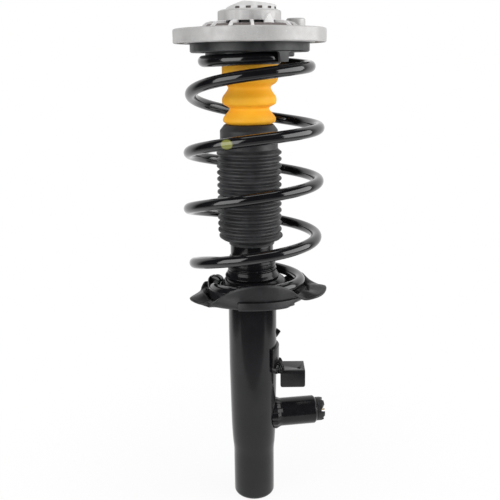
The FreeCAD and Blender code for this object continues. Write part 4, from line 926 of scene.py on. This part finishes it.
def trim_stay(p):
    """Draws the plate in under the dish's apron, left of the lip."""
    r = math.hypot(p.x, p.y)
    limit = STAY_R - 2.6 * smooth((LIP_ARC[0] + 1 - math.degrees(math.atan2(p.y, p.x))) / 6.0)
    return Vector((p.x / r * limit, p.y / r * limit, p.z)) if r > limit else p


def tear_lip(p):
    """Runs the lip out upwards, unevenly, at its right end."""
    top = STAY_LOW + STAY_LIP_H
    end = smooth((math.degrees(math.atan2(p.y, p.x)) + 54.0) / 22.0)
    torn = 0.9 * end * noise.noise(p * 0.45)
    raised = (top - 1.6 - p.z) * 0.9 * end if p.z < top - 1 else 0.0
    return Vector((p.x, p.y, p.z + raised + torn))


def lip_shadow_strip():
    """Matt black strip along the top of the stay's lip: a painted shadow line between the lip and the dish.
    """
    h = STAY_LOW + STAY_LIP_H
    piece = lathe("lip_shadow_strip", rounded([
        (STAY_R, h - 2.0, 0), (64.7, h - 2.0, 0), (65.4, h - 0.1, 0.3), (65.1, h + 0.7, 0.3),
        (63.5, h + 1.0, 0.3), (STAY_R, h + 1.2, 0),
    ], 3), 60, seat_tilt(), (LIP_ARC[0] - 1.0, LIP_ARC[1] - 8.0))
    return dress(piece, "strut_body", "black_paint", finish="seam_shade")


def seat_rubber():
    """Rubber channel under the last coil, ending in a raised hook round the wire's end."""
    lean = seat_tilt(COIL_X)
    back = lean.inverted()
    r_in = HUB_FOOT_R - 4.4
    reach = WIRE_R + 0.2
    rings, samples = 150, 44
    points = []
    for i in range(rings + 1):
        azimuth = LOW_PAD_ARC[1] + (LOW_PAD_ARC[0] - LOW_PAD_ARC[1]) * i / rings
        wire = back @ coil_point(min((TOP_END_AZ - azimuth) / 360 + 5, COIL_TURNS))
        wire_r = math.hypot(wire.x, wire.y)
        rise = smooth((-166.0 - azimuth) / 30.0)
        r_out = DISH_FLOOR_R - 0.3 + 1.6 * rise
        high = 4.5 + (LOW_PAD_H - 3.5) * smooth((-30.0 - azimuth) / 12.0)
        section = [(r_out, 0.75), (r_out - 0.6, 0.15), (HUB_FOOT_R + 1.0, 0.15),
                   (HUB_FOOT_R - 2.0, 2.0), (r_in, 3.6)]
        for k in range(samples + 1):
            r = r_in + (r_out - r_in) * k / samples
            edge = min(r - r_in, r_out - r)
            top = high + (7.6 if r > wire_r else 3.4) * rise - 1.3 * (1.0 - smooth(edge / 1.2))
            away = abs(r - wire_r)
            if away < reach:
                top = min(top, wire.z - math.sqrt(reach ** 2 - away ** 2))
            section.append((r, max(top, 1.2 if r > HUB_FOOT_R - 2.0 else 3.8)))
        points += [polar(r, azimuth, h) for r, h in section]
    channel = link("seat_rubber", points, tube_faces(rings + 1, samples + 6), 50.0, lean)
    carve(channel, end_hook(), "UNION", 50.0)
    carve(channel, wire_bore(COIL_TURNS - 0.11, COIL_TURNS, 36, WIRE_R + 0.08), crease=50.0)
    return dress(channel, "strut_body", "black_rubber", "lower_spring_pad", finish="pad_rubber")


def end_hook():
    """Rounded plug that closes the channel over the end of the wire."""
    end = coil_point(COIL_TURNS)
    along = (end - coil_point(COIL_TURNS - 1e-3)).normalized()
    turn = along.to_track_quat("Z", "Y").to_matrix().to_4x4()
    place = Matrix.Translation(end - along * HOOK_BEFORE + HOOK_SHIFT) @ turn
    length = HOOK_BEFORE + HOOK_BACK
    outline = [(0.0, 0.0)] + [(HOOK_R - 2.4 * (1 - s), 2.4 * (1 - c)) for c, s in quarter(6)]
    outline += [(HOOK_R, z) for z in (3.4, 4.4, 5.4, 6.4, 7.4, 8.4)]
    outline += [(HOOK_R - 5.2 * (1 - c), length - 5.2 * (1 - s)) for c, s in quarter(8)] + [(0.0, length)]
    return lathe("hook", outline, 64, place)


# Boot and bump stop

def boot_bellows():
    z0, top = BOOT_LOW_Z, BOOT_TOP_Z
    ribs_from = z0 + BOOT_FOOT_H
    ribs_top = top - BOOT_COLLAR_H
    pitch = (ribs_top - ribs_from) / BOOT_RIBS
    valley, ridge, wall = BOOT_VALLEY_R, BOOT_RIDGE_R, BOOT_WALL

    def folds(ribs, *marks):
        return [(r, ribs_from + i * pitch + share * pitch, size) for i in ribs for r, share, size in marks]
    outer = [(NECK_R + 0.05, z0, 0.3), (BOOT_NECK_R, z0, 0.4), (BOOT_NECK_R, ribs_from - 3.0, 1.0)]
    outer += folds(range(BOOT_RIBS), (valley, 0.02, 0.6), (ridge, 0.34, 1.0), (ridge, 0.58, 1.0),
                   (valley, 0.88, 0.6))
    outer += [(BOOT_COLLAR_R, ribs_top + 0.6, 1.0), (BOOT_COLLAR_R, top - 7.0, 2.5),
              (BOOT_MOUTH_R + 4.5, top - 0.6, 1.5), (BOOT_MOUTH_R, top, 0.6)]
    inner = [(BOOT_COLLAR_R - wall, top - 8.0, 1.5), (BOOT_COLLAR_R - wall, ribs_top + 0.8, 0.5)]
    inner += folds(reversed(range(BOOT_RIBS)), (valley - wall, 0.84, 0.5), (ridge - wall, 0.58, 0.7),
                   (ridge - wall, 0.28, 0.7), (valley - wall, 0.04, 0.5))
    inner += [(NECK_R + 0.05, ribs_from - 2.0, 0.5)]
    piece = lathe("boot_bellows", rounded(outer + inner, 3), 144, crease=60.0)
    reshape(piece, lambda p: p + Vector((BOOT_LEAN * smooth((p.z - z0 - 4.0) / 14.0), 0, 0)))
    dress(piece, "strut_body", "boot_plastic", "dust_boot")
    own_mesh(piece)
    return piece


def bump_foam():
    low, top = STOP_LOW.z, STOP_HIGH.z
    head_r, bore = STOP_HIGH.x, FOAM_BORE_R
    outline = [(bore, top), (head_r - 1.0, top), (head_r, top - 1.0), (head_r, top - 8), (31.8, top - 11)]
    outline += [(r, low + h) for r, h in spline(FOAM_FOLDS, 5)] + [(bore + 1.5, low), (bore, low + 1.5)]
    piece = lathe("bump_foam", outline, 144, crease=60.0)

    def lean(p):
        share = smooth((math.hypot(p.x, p.y) - bore - 3.0) / 8.0) * smooth((low + 62.0 - p.z) / 34.0)
        return p + Vector((FOAM_LEAN * share, 0, 0))
    reshape(piece, lean)
    return dress(piece, "top_mount", "urethane_yellow", "bump_stop")


# Upper spring seat

def spring_isolator():
    bottom = PAD_BOTTOM_Z
    top = bottom + 6.8
    lip = RIM_LOW.z + 1.5
    body = lathe("spring_isolator", rounded([
        (PAD_IN_R, bottom - 5.0, 1.2), (PAD_SPIGOT_R, bottom - 5.0, 2.4), (PAD_SPIGOT_R, bottom, 0.8),
        (65.6, bottom, 0.5), (66.5, bottom + 0.9, 0.4), (PAD_R, bottom + 1.2, 0.4), (PAD_R, lip, 0.6),
        (64.7, lip, 0.6), (64.7, top, 0.3), (PAD_IN_R, top, 0.5),
    ]), 192)
    half, flare = TAB_HALF, TAB_FLARE
    left = [(-half - flare, bottom)]
    left += [(-half - flare * (1 - s), bottom - flare + flare * c) for c, s in quarter(6, 1)]
    left += [(-half + 0.5, bottom - 9.4), (-half + 1.3, bottom - TAB_H)]
    outline = left + [(-x, z) for x, z in reversed(left)]
    outline += [(half + flare, bottom + 1), (-half - flare, bottom + 1)]
    tab = slab("tab", outline, PAD_SPIGOT_R, 72.0, turned(TAB_AZ - 90))
    shell = lathe("tab_shell", rounded([
        (62.6, bottom - 12, 0), (66.0, bottom - 12, 0), (66.0, bottom + 0.9, 0), (62.6, bottom + 0.9, 0),
    ]), 192)
    carve(tab, shell, "INTERSECT")
    bevel(tab, 0.5, 2)
    carve(body, tab, "UNION")
    carve(body, wire_bore(-0.02, 0.98, 150, WIRE_R + 0.15))
    return dress(body, "upper_seat", "black_rubber", "upper_isolator")


# Top mount

def mount_fin(i):
    """One fin, thicker at its root, with its top sloping out from the turret."""
    reach = ARROW_R + 1.5 if i == ARROW_RIB else RIB_R
    outline = [
        (TURRET_R - 2, -1.0), (reach + 0.6, -1.0), (reach + 0.2, 1.0), (reach - 2.0, 2.8), (reach - 6.0, 6.2),
        (min(reach - 7.0, TURRET_R + 9.0), RIB_H - 0.2), (TURRET_R + 0.8, RIB_H), (TURRET_R - 2, RIB_H),
    ]
    points = []
    for side in (-1, 1):
        for x, z in outline:
            half = FIN_HALF - FIN_TAPER * max(z, 0)
            points.append((x, side * half, RIM_TOP_Z + z))
    fin = link("fin", points, tube_faces(2, len(outline)), matrix=turned(rib_azimuth(i)))
    bevel(fin, 0.45, 2)
    return fin


def mount_window(i):
    outline = pane(WINDOW_W, RIM_TOP_Z + WINDOW_SILL, WINDOW_H, 0.8, 1.2, 3)
    return slab("window", outline, HUB_IN_R - 2, TURRET_R + 4, turned(rib_azimuth(i + 0.5) - 90))


def mount_casting():
    z0, z1 = RIM_TOP_Z - RIM_H, RIM_TOP_Z
    web = z1 - WEB_H
    body = lathe("mount_casting", rounded([
        (HUB_IN_R, z0 + 0.5, 0.6), (HUB_OUT_R, z0 + 0.5, 1.0),
        (HUB_OUT_R, web, 2.0), (RIM_IN_R, web, 2.5), (RIM_IN_R, z0, 1.0), (72.6, z0, 0.4),
        (73.4, z0 + 3.0, 0.8), (81.2, z0 + 3.0, 0.8), (81.8, z0, 0.4), (RIM_R, z0, 2.0), (RIM_R, z1, 2.0),
        (TURRET_R + 0.3, z1, 2.2), (TURRET_R, TURRET_TOP_Z, 2.4), (HUB_IN_R + 0.6, TURRET_TOP_Z, 0.4),
        (HUB_IN_R, TURRET_TOP_Z - 0.6, 0.4),
    ], 6), 224)
    carve(body, join("fins", [mount_fin(i) for i in range(RIB_COUNT)]), "UNION")
    carve(body, mount_boss(), "UNION")
    carve(body, mount_arrow(), "UNION")
    carve(body, join("windows", [mount_window(i) for i in range(RIB_COUNT)]))
    carve(body, join("bolt_holes", [bolt_hole(i) for i in range(3)]), crease=30.0)
    dress(body, "top_mount", "cast_aluminium", "mount_housing")
    boss = polar(BOSS_AT_R, BOSS_AZ, 0)

    def on_fin(p):
        near = TURRET_R + 0.6 < math.hypot(p.x, p.y) < RIB_R + 1
        return near and p.z > z1 + 0.3 and math.hypot(p.x - boss.x, p.y - boss.y) > BOSS_R + 0.1
    # The fins get the paler casting as a painted highlight
    second_finish(body, "painted_lit_casting", on_fin)
    return body


def fin_shade_ring():
    """Ring between the fins in painted shade, its foot in the paler casting as a painted highlight."""
    z = RIM_TOP_Z + 0.05
    outline = rounded([
        (TURRET_R + 0.1, z, 0), (53.4, z, 0), (51.8, z + 1.1, 0.3), (48.2, z + 4.3, 0.8),
        (45.8, z + 4.3, 0.8), (44.4, z + 2.4, 0.5), (TURRET_R + 0.1, z + 2.4, 0),
    ], 3)
    piece = lathe("fin_shade_ring", outline, 168)
    reshape(piece, lambda p: p + Vector((0, 0, 0.35 * noise.noise(p * 0.26) if p.z > z + 0.5 else 0)))
    dress(piece, "top_mount", "cast_aluminium", finish="painted_shade_casting")
    # The foot gets a painted highlight, standing in for the lit top of the rim
    second_finish(piece, "painted_lit_casting", lambda p: p.z < z + 1.3)
    return piece


def mount_boss():
    place = Matrix.Translation(polar(BOSS_AT_R, BOSS_AZ, RIM_TOP_Z))
    return lathe("boss", rounded([
        (0, -1.5, 0), (BOSS_R + 1.2, -1.5, 0), (BOSS_R + 1.2, 0.02, 0.2), (BOSS_R, 1.2, 1.0),
        (BOSS_R, BOSS_H, 2.5), (0, BOSS_H, 0),
    ], 6), 64, place)


def mount_arrow():
    """Pointed fin that marks which way round the mount goes."""
    half = ARROW_W / 2
    outline = [
        (-half, -1.0), (half, -1.0), (half, 2.0), (half - 0.8, 3.6), (0.9, ARROW_H - 0.3),
        (-0.9, ARROW_H - 0.3), (-half + 0.8, 3.6), (-half, 2.0),
    ]
    turn = turned(ARROW_AZ - 90) @ Matrix.Translation((0, 0, RIM_TOP_Z))
    fin = slab("arrow", outline, ARROW_R, ARROW_R + 3.0, turn)
    bevel(fin, 0.5, 2)
    return fin


def bolt_hole(i):
    place = Matrix.Translation(polar(BOLT_PCD / 2, BOLT_AZ + 120.0 * i, RIM_TOP_Z))
    return lathe("hole", rounded([
        (0, -BOLT_DEPTH, 0), (BOLT_HOLE_R, -BOLT_DEPTH, 0.3), (BOLT_HOLE_R, -0.7, 0),
        (BOLT_HOLE_R + 0.8, 0.1, 0), (BOLT_HOLE_R + 0.8, 2, 0), (0, 2, 0),
    ]), 40, place)


def lid_height(x):
    """Height of the lid's two slanted planes."""
    left, right = LID_ENDS_X
    if x < LID_PEAK_X:
        return LID_LEFT_Z + (LID_PEAK_Z - LID_LEFT_Z) * (x - left) / (LID_PEAK_X - left)
    return LID_PEAK_Z + (LID_RIGHT_Z - LID_PEAK_Z) * (x - LID_PEAK_X) / (right - LID_PEAK_X)


def lid_roof(down):
    """Everything under the lid's two slanted planes, moved down by a wall."""
    left, right = LID_ENDS_X
    low = TURRET_TOP_Z - 12
    near, far = LID_PEAK_X - 1.6, LID_PEAK_X + 1.6
    return slab("roof", [
        (left, low), (right, low), (right, LID_RIGHT_Z - down), (far, lid_height(far) - down),
        (LID_PEAK_X, LID_PEAK_Z - 0.25 - down), (near, lid_height(near) - down), (left, LID_LEFT_Z - down),
    ], -60, 60)


def mount_lid():
    z0 = CAP_LOW_Z + LID_SKIRT_H
    middle = Matrix.Translation((LID_X, 0, 0))
    lid = cylinder("mount_lid", LID_R, z0, z0 + 20, 160, middle)
    carve(lid, lid_roof(0.0), "INTERSECT")
    bevel(lid, 0.7, 3, 40.0)
    skirt = HUB_IN_R - 0.05
    flange = lathe("flange", rounded([
        (0, z0 - LID_SKIRT_H, 0), (skirt, z0 - LID_SKIRT_H, 0.5), (skirt, z0, 0), (LID_FLANGE_R, z0, 0.1),
        (LID_FLANGE_R, z0 + 0.8, 0.4), (0, z0 + 0.8, 0),
    ]))
    carve(lid, flange, "UNION")
    inside = cylinder("inside", LID_R - LID_WALL, z0 - 8, z0 + 20, 120, middle)
    carve(inside, lid_roof(LID_WALL), "INTERSECT")
    carve(lid, inside)
    sill = z0 + 1.2
    outline = pane(LID_WINDOW_W, sill, LID_WINDOW_H, 0.5, 0.5, 2)
    slots = []
    for azimuth in [rib_azimuth(i) - 9.5 for i in range(RIB_COUNT)]:
        if lid_height(LID_X + LID_R * math.cos(math.radians(azimuth))) >= sill + LID_WINDOW_H + 1.0:
            slots.append(slab("slot", outline, LID_R - 1.5, LID_R + 2, middle @ turned(azimuth - 90)))
    carve(lid, join("slots", slots))
    dress(lid, "top_mount", "cap_plastic", "mount_cap")
    # Painted shade inside the slots and on the lid's inner wall at their height
    second_finish(lid, "painted_shade_casting", lambda p: math.hypot(p.x - LID_X, p.y) < LID_R - 0.2
                  and sill - 0.3 < p.z < sill + LID_WINDOW_H)
    return lid


# Side valve

def valve_can():
    r, r_in = VALVE_R, VALVE_R - VALVE_WALL
    outline = rounded([
        (r_in, 20, 0), (r + 2.6, 20, 0), (r + 2.6, 28.0, 1.5), (r + 0.6, 32.5, 2.0), (r, 35.0, 1.5),
        (r, VALVE_END - 1.0, 1.6), (r - 3.0, VALVE_END + 2.4, 1.0), (r_in - 1.2, VALVE_END + 2.4, 0.2),
        (r_in, VALVE_END, 0.2),
    ], 6)
    piece = lathe("valve_can", outline, 128, ON_VALVE_AXIS)
    reshape(piece, ripple_root, ON_VALVE_AXIS)
    tidy_mesh(piece)
    carve(piece, cylinder("core", BODY_R - 0.4, 40, 190))
    return dress(piece, "strut_body", "black_paint", "valve_housing")


def ripple_root(p):
    """Uneven weld where the side valve meets the tube."""
    r = math.hypot(p.x, p.y)
    share = smooth((34.5 - p.z) / 5.0) * smooth(r - VALVE_R + 0.5)
    if share == 0:
        return p
    grown = 1.0 + share * (0.45 * math.sin(14 * math.atan2(p.y, p.x)) + 0.7 * noise.noise(p * 0.35)) / r
    return Vector((p.x * grown, p.y * grown, p.z))


def valve_plug():
    z0 = VALVE_END + 2.45
    inner = VALVE_R - VALVE_WALL - 1.3
    outline = rounded([
        (0, PLUG_FOOT, 0), (inner, PLUG_FOOT, 0.3), (inner, z0, 0.1), (PLUG_R, z0, 1.0),
        (PLUG_R, PLUG_END - 3.6, 0.4), (PLUG_R - 0.8, PLUG_END, 0.6), (PLUG_BORE_R, PLUG_END, 0.5),
        (PLUG_BORE_R, z0 + 4, 0.4), (0, z0 + 4, 0),
    ])
    piece = lathe("valve_plug", outline, 120, ON_VALVE_AXIS)
    notch = [(-4.4, PLUG_END - 4.6), (-2.4, PLUG_END - 4.6), (5.0, PLUG_END + 1), (-5.0, PLUG_END + 1)]
    turns = [ON_VALVE_AXIS @ turned(360.0 * (i + 0.5) / PLUG_TEETH) for i in range(PLUG_TEETH)]
    carve(piece, join("notches", [slab("notch", notch, PLUG_BORE_R - 2, PLUG_R + 3, turn) for turn in turns]))
    bevel(piece, 0.25, 2, 50.0)
    return dress(piece, "strut_body", "black_plastic", "valve_connector")


# Brackets on the tube

def saddle():
    r0 = BODY_R + 0.05
    z0, z1 = SADDLE_Z
    piece = lathe("saddle", rounded([
        (r0, z0, 0.2), (r0 + SADDLE_THICK, z0, 1.0), (r0 + SADDLE_THICK, z1, 1.0), (r0, z1, 0.2),
    ]), 48, arc=SADDLE_ARC)
    bevel(piece, 0.8, 3, 60.0)
    return dress(piece, "strut_body", "black_paint", "saddle_plate")


def clip_plate():
    """Bent plate: a level top with a clip hole and a face turned down at the front."""
    t = PLATE_THICK
    x0, x1 = PLATE_X
    y0, y1 = PLATE_Y
    top_z, low = PLATE_TOP_Z, PLATE_TOP_Z - PLATE_H
    bend = rounded([(y0, low, 0), (y0, top_z, t * 1.2), (y1, top_z, 0), (y1, top_z - t, 0),
                    (y0 + t, top_z - t, 0.6), (y0 + t, low, 0)], 6)
    swap = Matrix(((0, 1, 0, 0), (1, 0, 0, 0), (0, 0, 1, 0), (0, 0, 0, 1)))
    plate = slab("clip_plate", bend, 20.0, x1, swap)
    keep = rounded([(10, top_z - t - 0.2, 0), (x0, top_z - t - 0.2, 1.2), (x0, low, 3.0), (x1, low, 3.0),
                    (x1, top_z + 2, 0), (10, top_z + 2, 0)], 6)
    carve(plate, slab("outline", keep, y0 - 1, y1 + 1), "INTERSECT")
    hole_x, hole_y, hole_r = PLATE_HOLE
    carve(plate, cylinder("hole", hole_r, top_z - 6, top_z + 4, 32, Matrix.Translation((hole_x, hole_y, 0))))
    carve(plate, cylinder("core", BODY_R + 0.1, 100, 250))
    bevel(plate, 0.45, 2, 50.0)
    return dress(plate, "strut_body", "black_paint", "hose_bracket")


def weld_bead():
    """Rough bead from the bracket's top up to the saddle, in overlapping ripples."""
    inner = BODY_R + 0.1
    z = PLATE_TOP_Z + 0.05
    points = []
    sections, sides = 120, 18
    for i in range(sections + 1):
        t = i / sections
        azimuth = WELD_ARC[0] + (WELD_ARC[1] - WELD_ARC[0]) * t
        ripple = 0.16 * math.sin(t * 2 * math.pi * WELD_RIPPLES)
        swell = 1.0 + ripple + 0.30 * noise.noise(Vector((t * 16, 0, 3)))
        swell *= min(1.0, 0.4 + 6 * t, 0.4 + 6 * (1 - t))
        points.append(polar(inner, azimuth, z))
        for k, (c, s) in enumerate(quarter(sides - 1)):
            lump = swell * (1.0 + 0.14 * noise.noise(Vector((t * 30, k * 0.4, 7))))
            reach = SADDLE_THICK + 0.2 + WELD_REACH * lump * c
            points.append(polar(inner + reach, azimuth, z + WELD_H * lump * s))
        points.append(polar(inner, azimuth, z + 7.0))
    piece = link("weld_bead", points, tube_faces(sections + 1, sides + 2), 60.0)
    return dress(piece, "strut_body", "black_paint", "bracket_weld")


def guide_tooth():
    r = BODY_R + 0.05
    outline = rounded([
        (r, TOOTH_Z - 6.0, 0.3), (r + 0.6, TOOTH_Z - 6.0, 0.5), (r + 5.4, TOOTH_Z + 1, 0.6),
        (r + 4.0, TOOTH_Z + 2.4, 0.8), (r + 0.6, TOOTH_Z + 5, 1.0), (r, TOOTH_Z + 5, 0.2),
    ], 4)
    piece = slab("guide_tooth", outline, -1.7, 1.7, turned(TOOTH_AZ))
    bevel(piece, 0.4, 2)
    return dress(piece, "strut_body", "black_paint", "locating_tooth")


# Floor, light and camera, in metres

FLOOR_SIDE = 0.60
FLOOR_FRONT = 0.33
FLOOR_Z = -0.0006
FLOOR_FADE = (0.05, 0.45)     # from the strut's axis
ROOM_LIGHT = 0.34
WHITE = (1, 1, 1, 1)


def floor():
    """White paper that takes the strut's shadow and fades into the backdrop towards its edge."""
    piece = bpy.data.objects.new("floor", bpy.data.meshes.new("floor"))
    side, front = FLOOR_SIDE, FLOOR_FRONT
    corners = [(-side, -front), (side, -front), (side, side), (-side, side)]
    piece.data.from_pydata([(x, y, FLOOR_Z) for x, y in corners], [], [(0, 1, 2, 3)])
    bpy.context.scene.collection.objects.link(piece)
    material = bpy.data.materials.new("floor_paper")
    material.use_nodes = True
    tree = material.node_tree
    tree.nodes.clear()
    path = node(tree, "LightPath").outputs
    seen = largest(tree, path["Is Camera Ray"], path["Is Glossy Ray"], path["Is Transmission Ray"])
    place = node(tree, "TexCoord").outputs["Object"]
    reach = node(tree, "VectorMath", {0: place}, operation="LENGTH").outputs["Value"]
    fade = band(tree, reach, *FLOOR_FADE, 0.93, 1.0, interpolation_type="SMOOTHSTEP")
    share = node(tree, "Math", {0: seen, 1: fade}, operation="MULTIPLY").outputs[0]
    paper = node(tree, "BsdfDiffuse", {"Color": (0.86, 0.86, 0.86, 1)}).outputs[0]
    white = node(tree, "Emission", {"Color": WHITE, "Strength": 1.0}).outputs[0]
    mix = node(tree, "MixShader", {0: share, 1: paper, 2: white}).outputs[0]
    node(tree, "OutputMaterial", {"Surface": mix})
    piece.data.materials.append(material)


def world():
    """White paper behind the strut, and a dim room at the camera's side that shows only in gloss."""
    scene_world = bpy.data.worlds.new("tent")
    bpy.context.scene.world = scene_world
    scene_world.use_nodes = True
    tree = scene_world.node_tree
    tree.nodes.clear()
    path = node(tree, "LightPath").outputs
    place = node(tree, "TexCoord").outputs["Generated"]
    split = node(tree, "SeparateXYZ", {0: place}).outputs
    front = band(tree, split["Y"], 0.25, 0.55, 0.02, 1.0)
    low = band(tree, split["Z"], -0.33, -0.41, 0.0, 0.45)
    strengths = (ROOM_LIGHT, largest(tree, front, low), 1.0)
    ambient, mirrored, seen = (node(tree, "Background", {"Color": WHITE, "Strength": strength}).outputs[0]
                               for strength in strengths)
    gloss = largest(tree, path["Is Glossy Ray"], path["Is Transmission Ray"])
    unseen = node(tree, "MixShader", {0: gloss, 1: ambient, 2: mirrored}).outputs[0]
    mix = node(tree, "MixShader", {0: path["Is Camera Ray"], 1: unseen, 2: seen}).outputs[0]
    node(tree, "OutputWorld", {"Surface": mix})


def softbox(name, place, target, size, power):
    """Rectangular lamp that faces a point."""
    light = bpy.data.lights.new(name, "AREA")
    light.shape = "RECTANGLE"
    light.size, light.size_y = size
    light.energy = power
    lamp = bpy.data.objects.new(name, light)
    lamp.location = place
    lamp.rotation_euler = (Vector(target) - Vector(place)).to_track_quat("-Z", "Y").to_euler()
    bpy.context.scene.collection.objects.link(lamp)


def aside(azimuth, distance, height):
    """A place round the strut: azimuth 0 is the camera's side, and it grows to the right."""
    a = math.radians(azimuth)
    return (distance * math.sin(a), -distance * math.cos(a), height)


def lights():
    softbox("left_box", aside(-44, 1.5, 0.65), (0, 0, 0.34), (1.24, 1.5), 17.6)
    softbox("right_box", aside(75, 1.5, 0.65), (0, 0, 0.34), (1.63, 1.5), 25.6)
    softbox("top_box", (0.0, -0.1, 1.75), (0, 0, 0.45), (0.9, 0.7), 4.0)


CAMERA_TILT = 14.46      # degrees down
CAMERA_ROLL = 0.62       # degrees clockwise
CAMERA_AIM_Z = 0.3241
CAMERA_DISTANCE = 0.8665
FOCAL_PIXELS = 722.6     # in a 500 pixel wide picture
SENSOR = 36.0
AXIS_SHIFT = 1.9         # pixels from the picture's middle to the strut's axis


def camera():
    tilt, roll = math.radians(CAMERA_TILT), math.radians(CAMERA_ROLL)
    ahead = Vector((0, math.cos(tilt), -math.sin(tilt)))
    right, up = Vector((1, 0, 0)), Vector((0, math.sin(tilt), math.cos(tilt)))
    c, s = math.cos(roll), math.sin(roll)
    axes = (right * c - up * s, right * s + up * c, -ahead)
    data = bpy.data.cameras.new("camera")
    data.sensor_width = SENSOR
    data.lens = SENSOR * FOCAL_PIXELS / 500.0
    data.shift_x = -AXIS_SHIFT / 500.0
    data.clip_start = 0.01
    eye = bpy.data.objects.new("camera", data)
    turn = Matrix(axes).transposed().to_4x4()
    eye.matrix_world = Matrix.Translation(Vector((0, 0, CAMERA_AIM_Z)) - ahead * CAMERA_DISTANCE) @ turn
    bpy.context.scene.collection.objects.link(eye)
    bpy.context.scene.camera = eye


bpy.context.scene.view_settings.view_transform = "Standard"
mix_paints()
mix_castings()
mix_plastics()
mix_metals()
camera()
world()
lights()
floor()
dress_frame()
for build in (strut_tube, seat_collar, spring_dish, seat_stay, lip_shadow_strip, seat_rubber, coil_spring,
              boot_bellows, bump_foam, spring_isolator, mount_casting, fin_shade_ring, mount_lid, valve_can,
              valve_plug, saddle, clip_plate, weld_bead, guide_tooth):
    build()
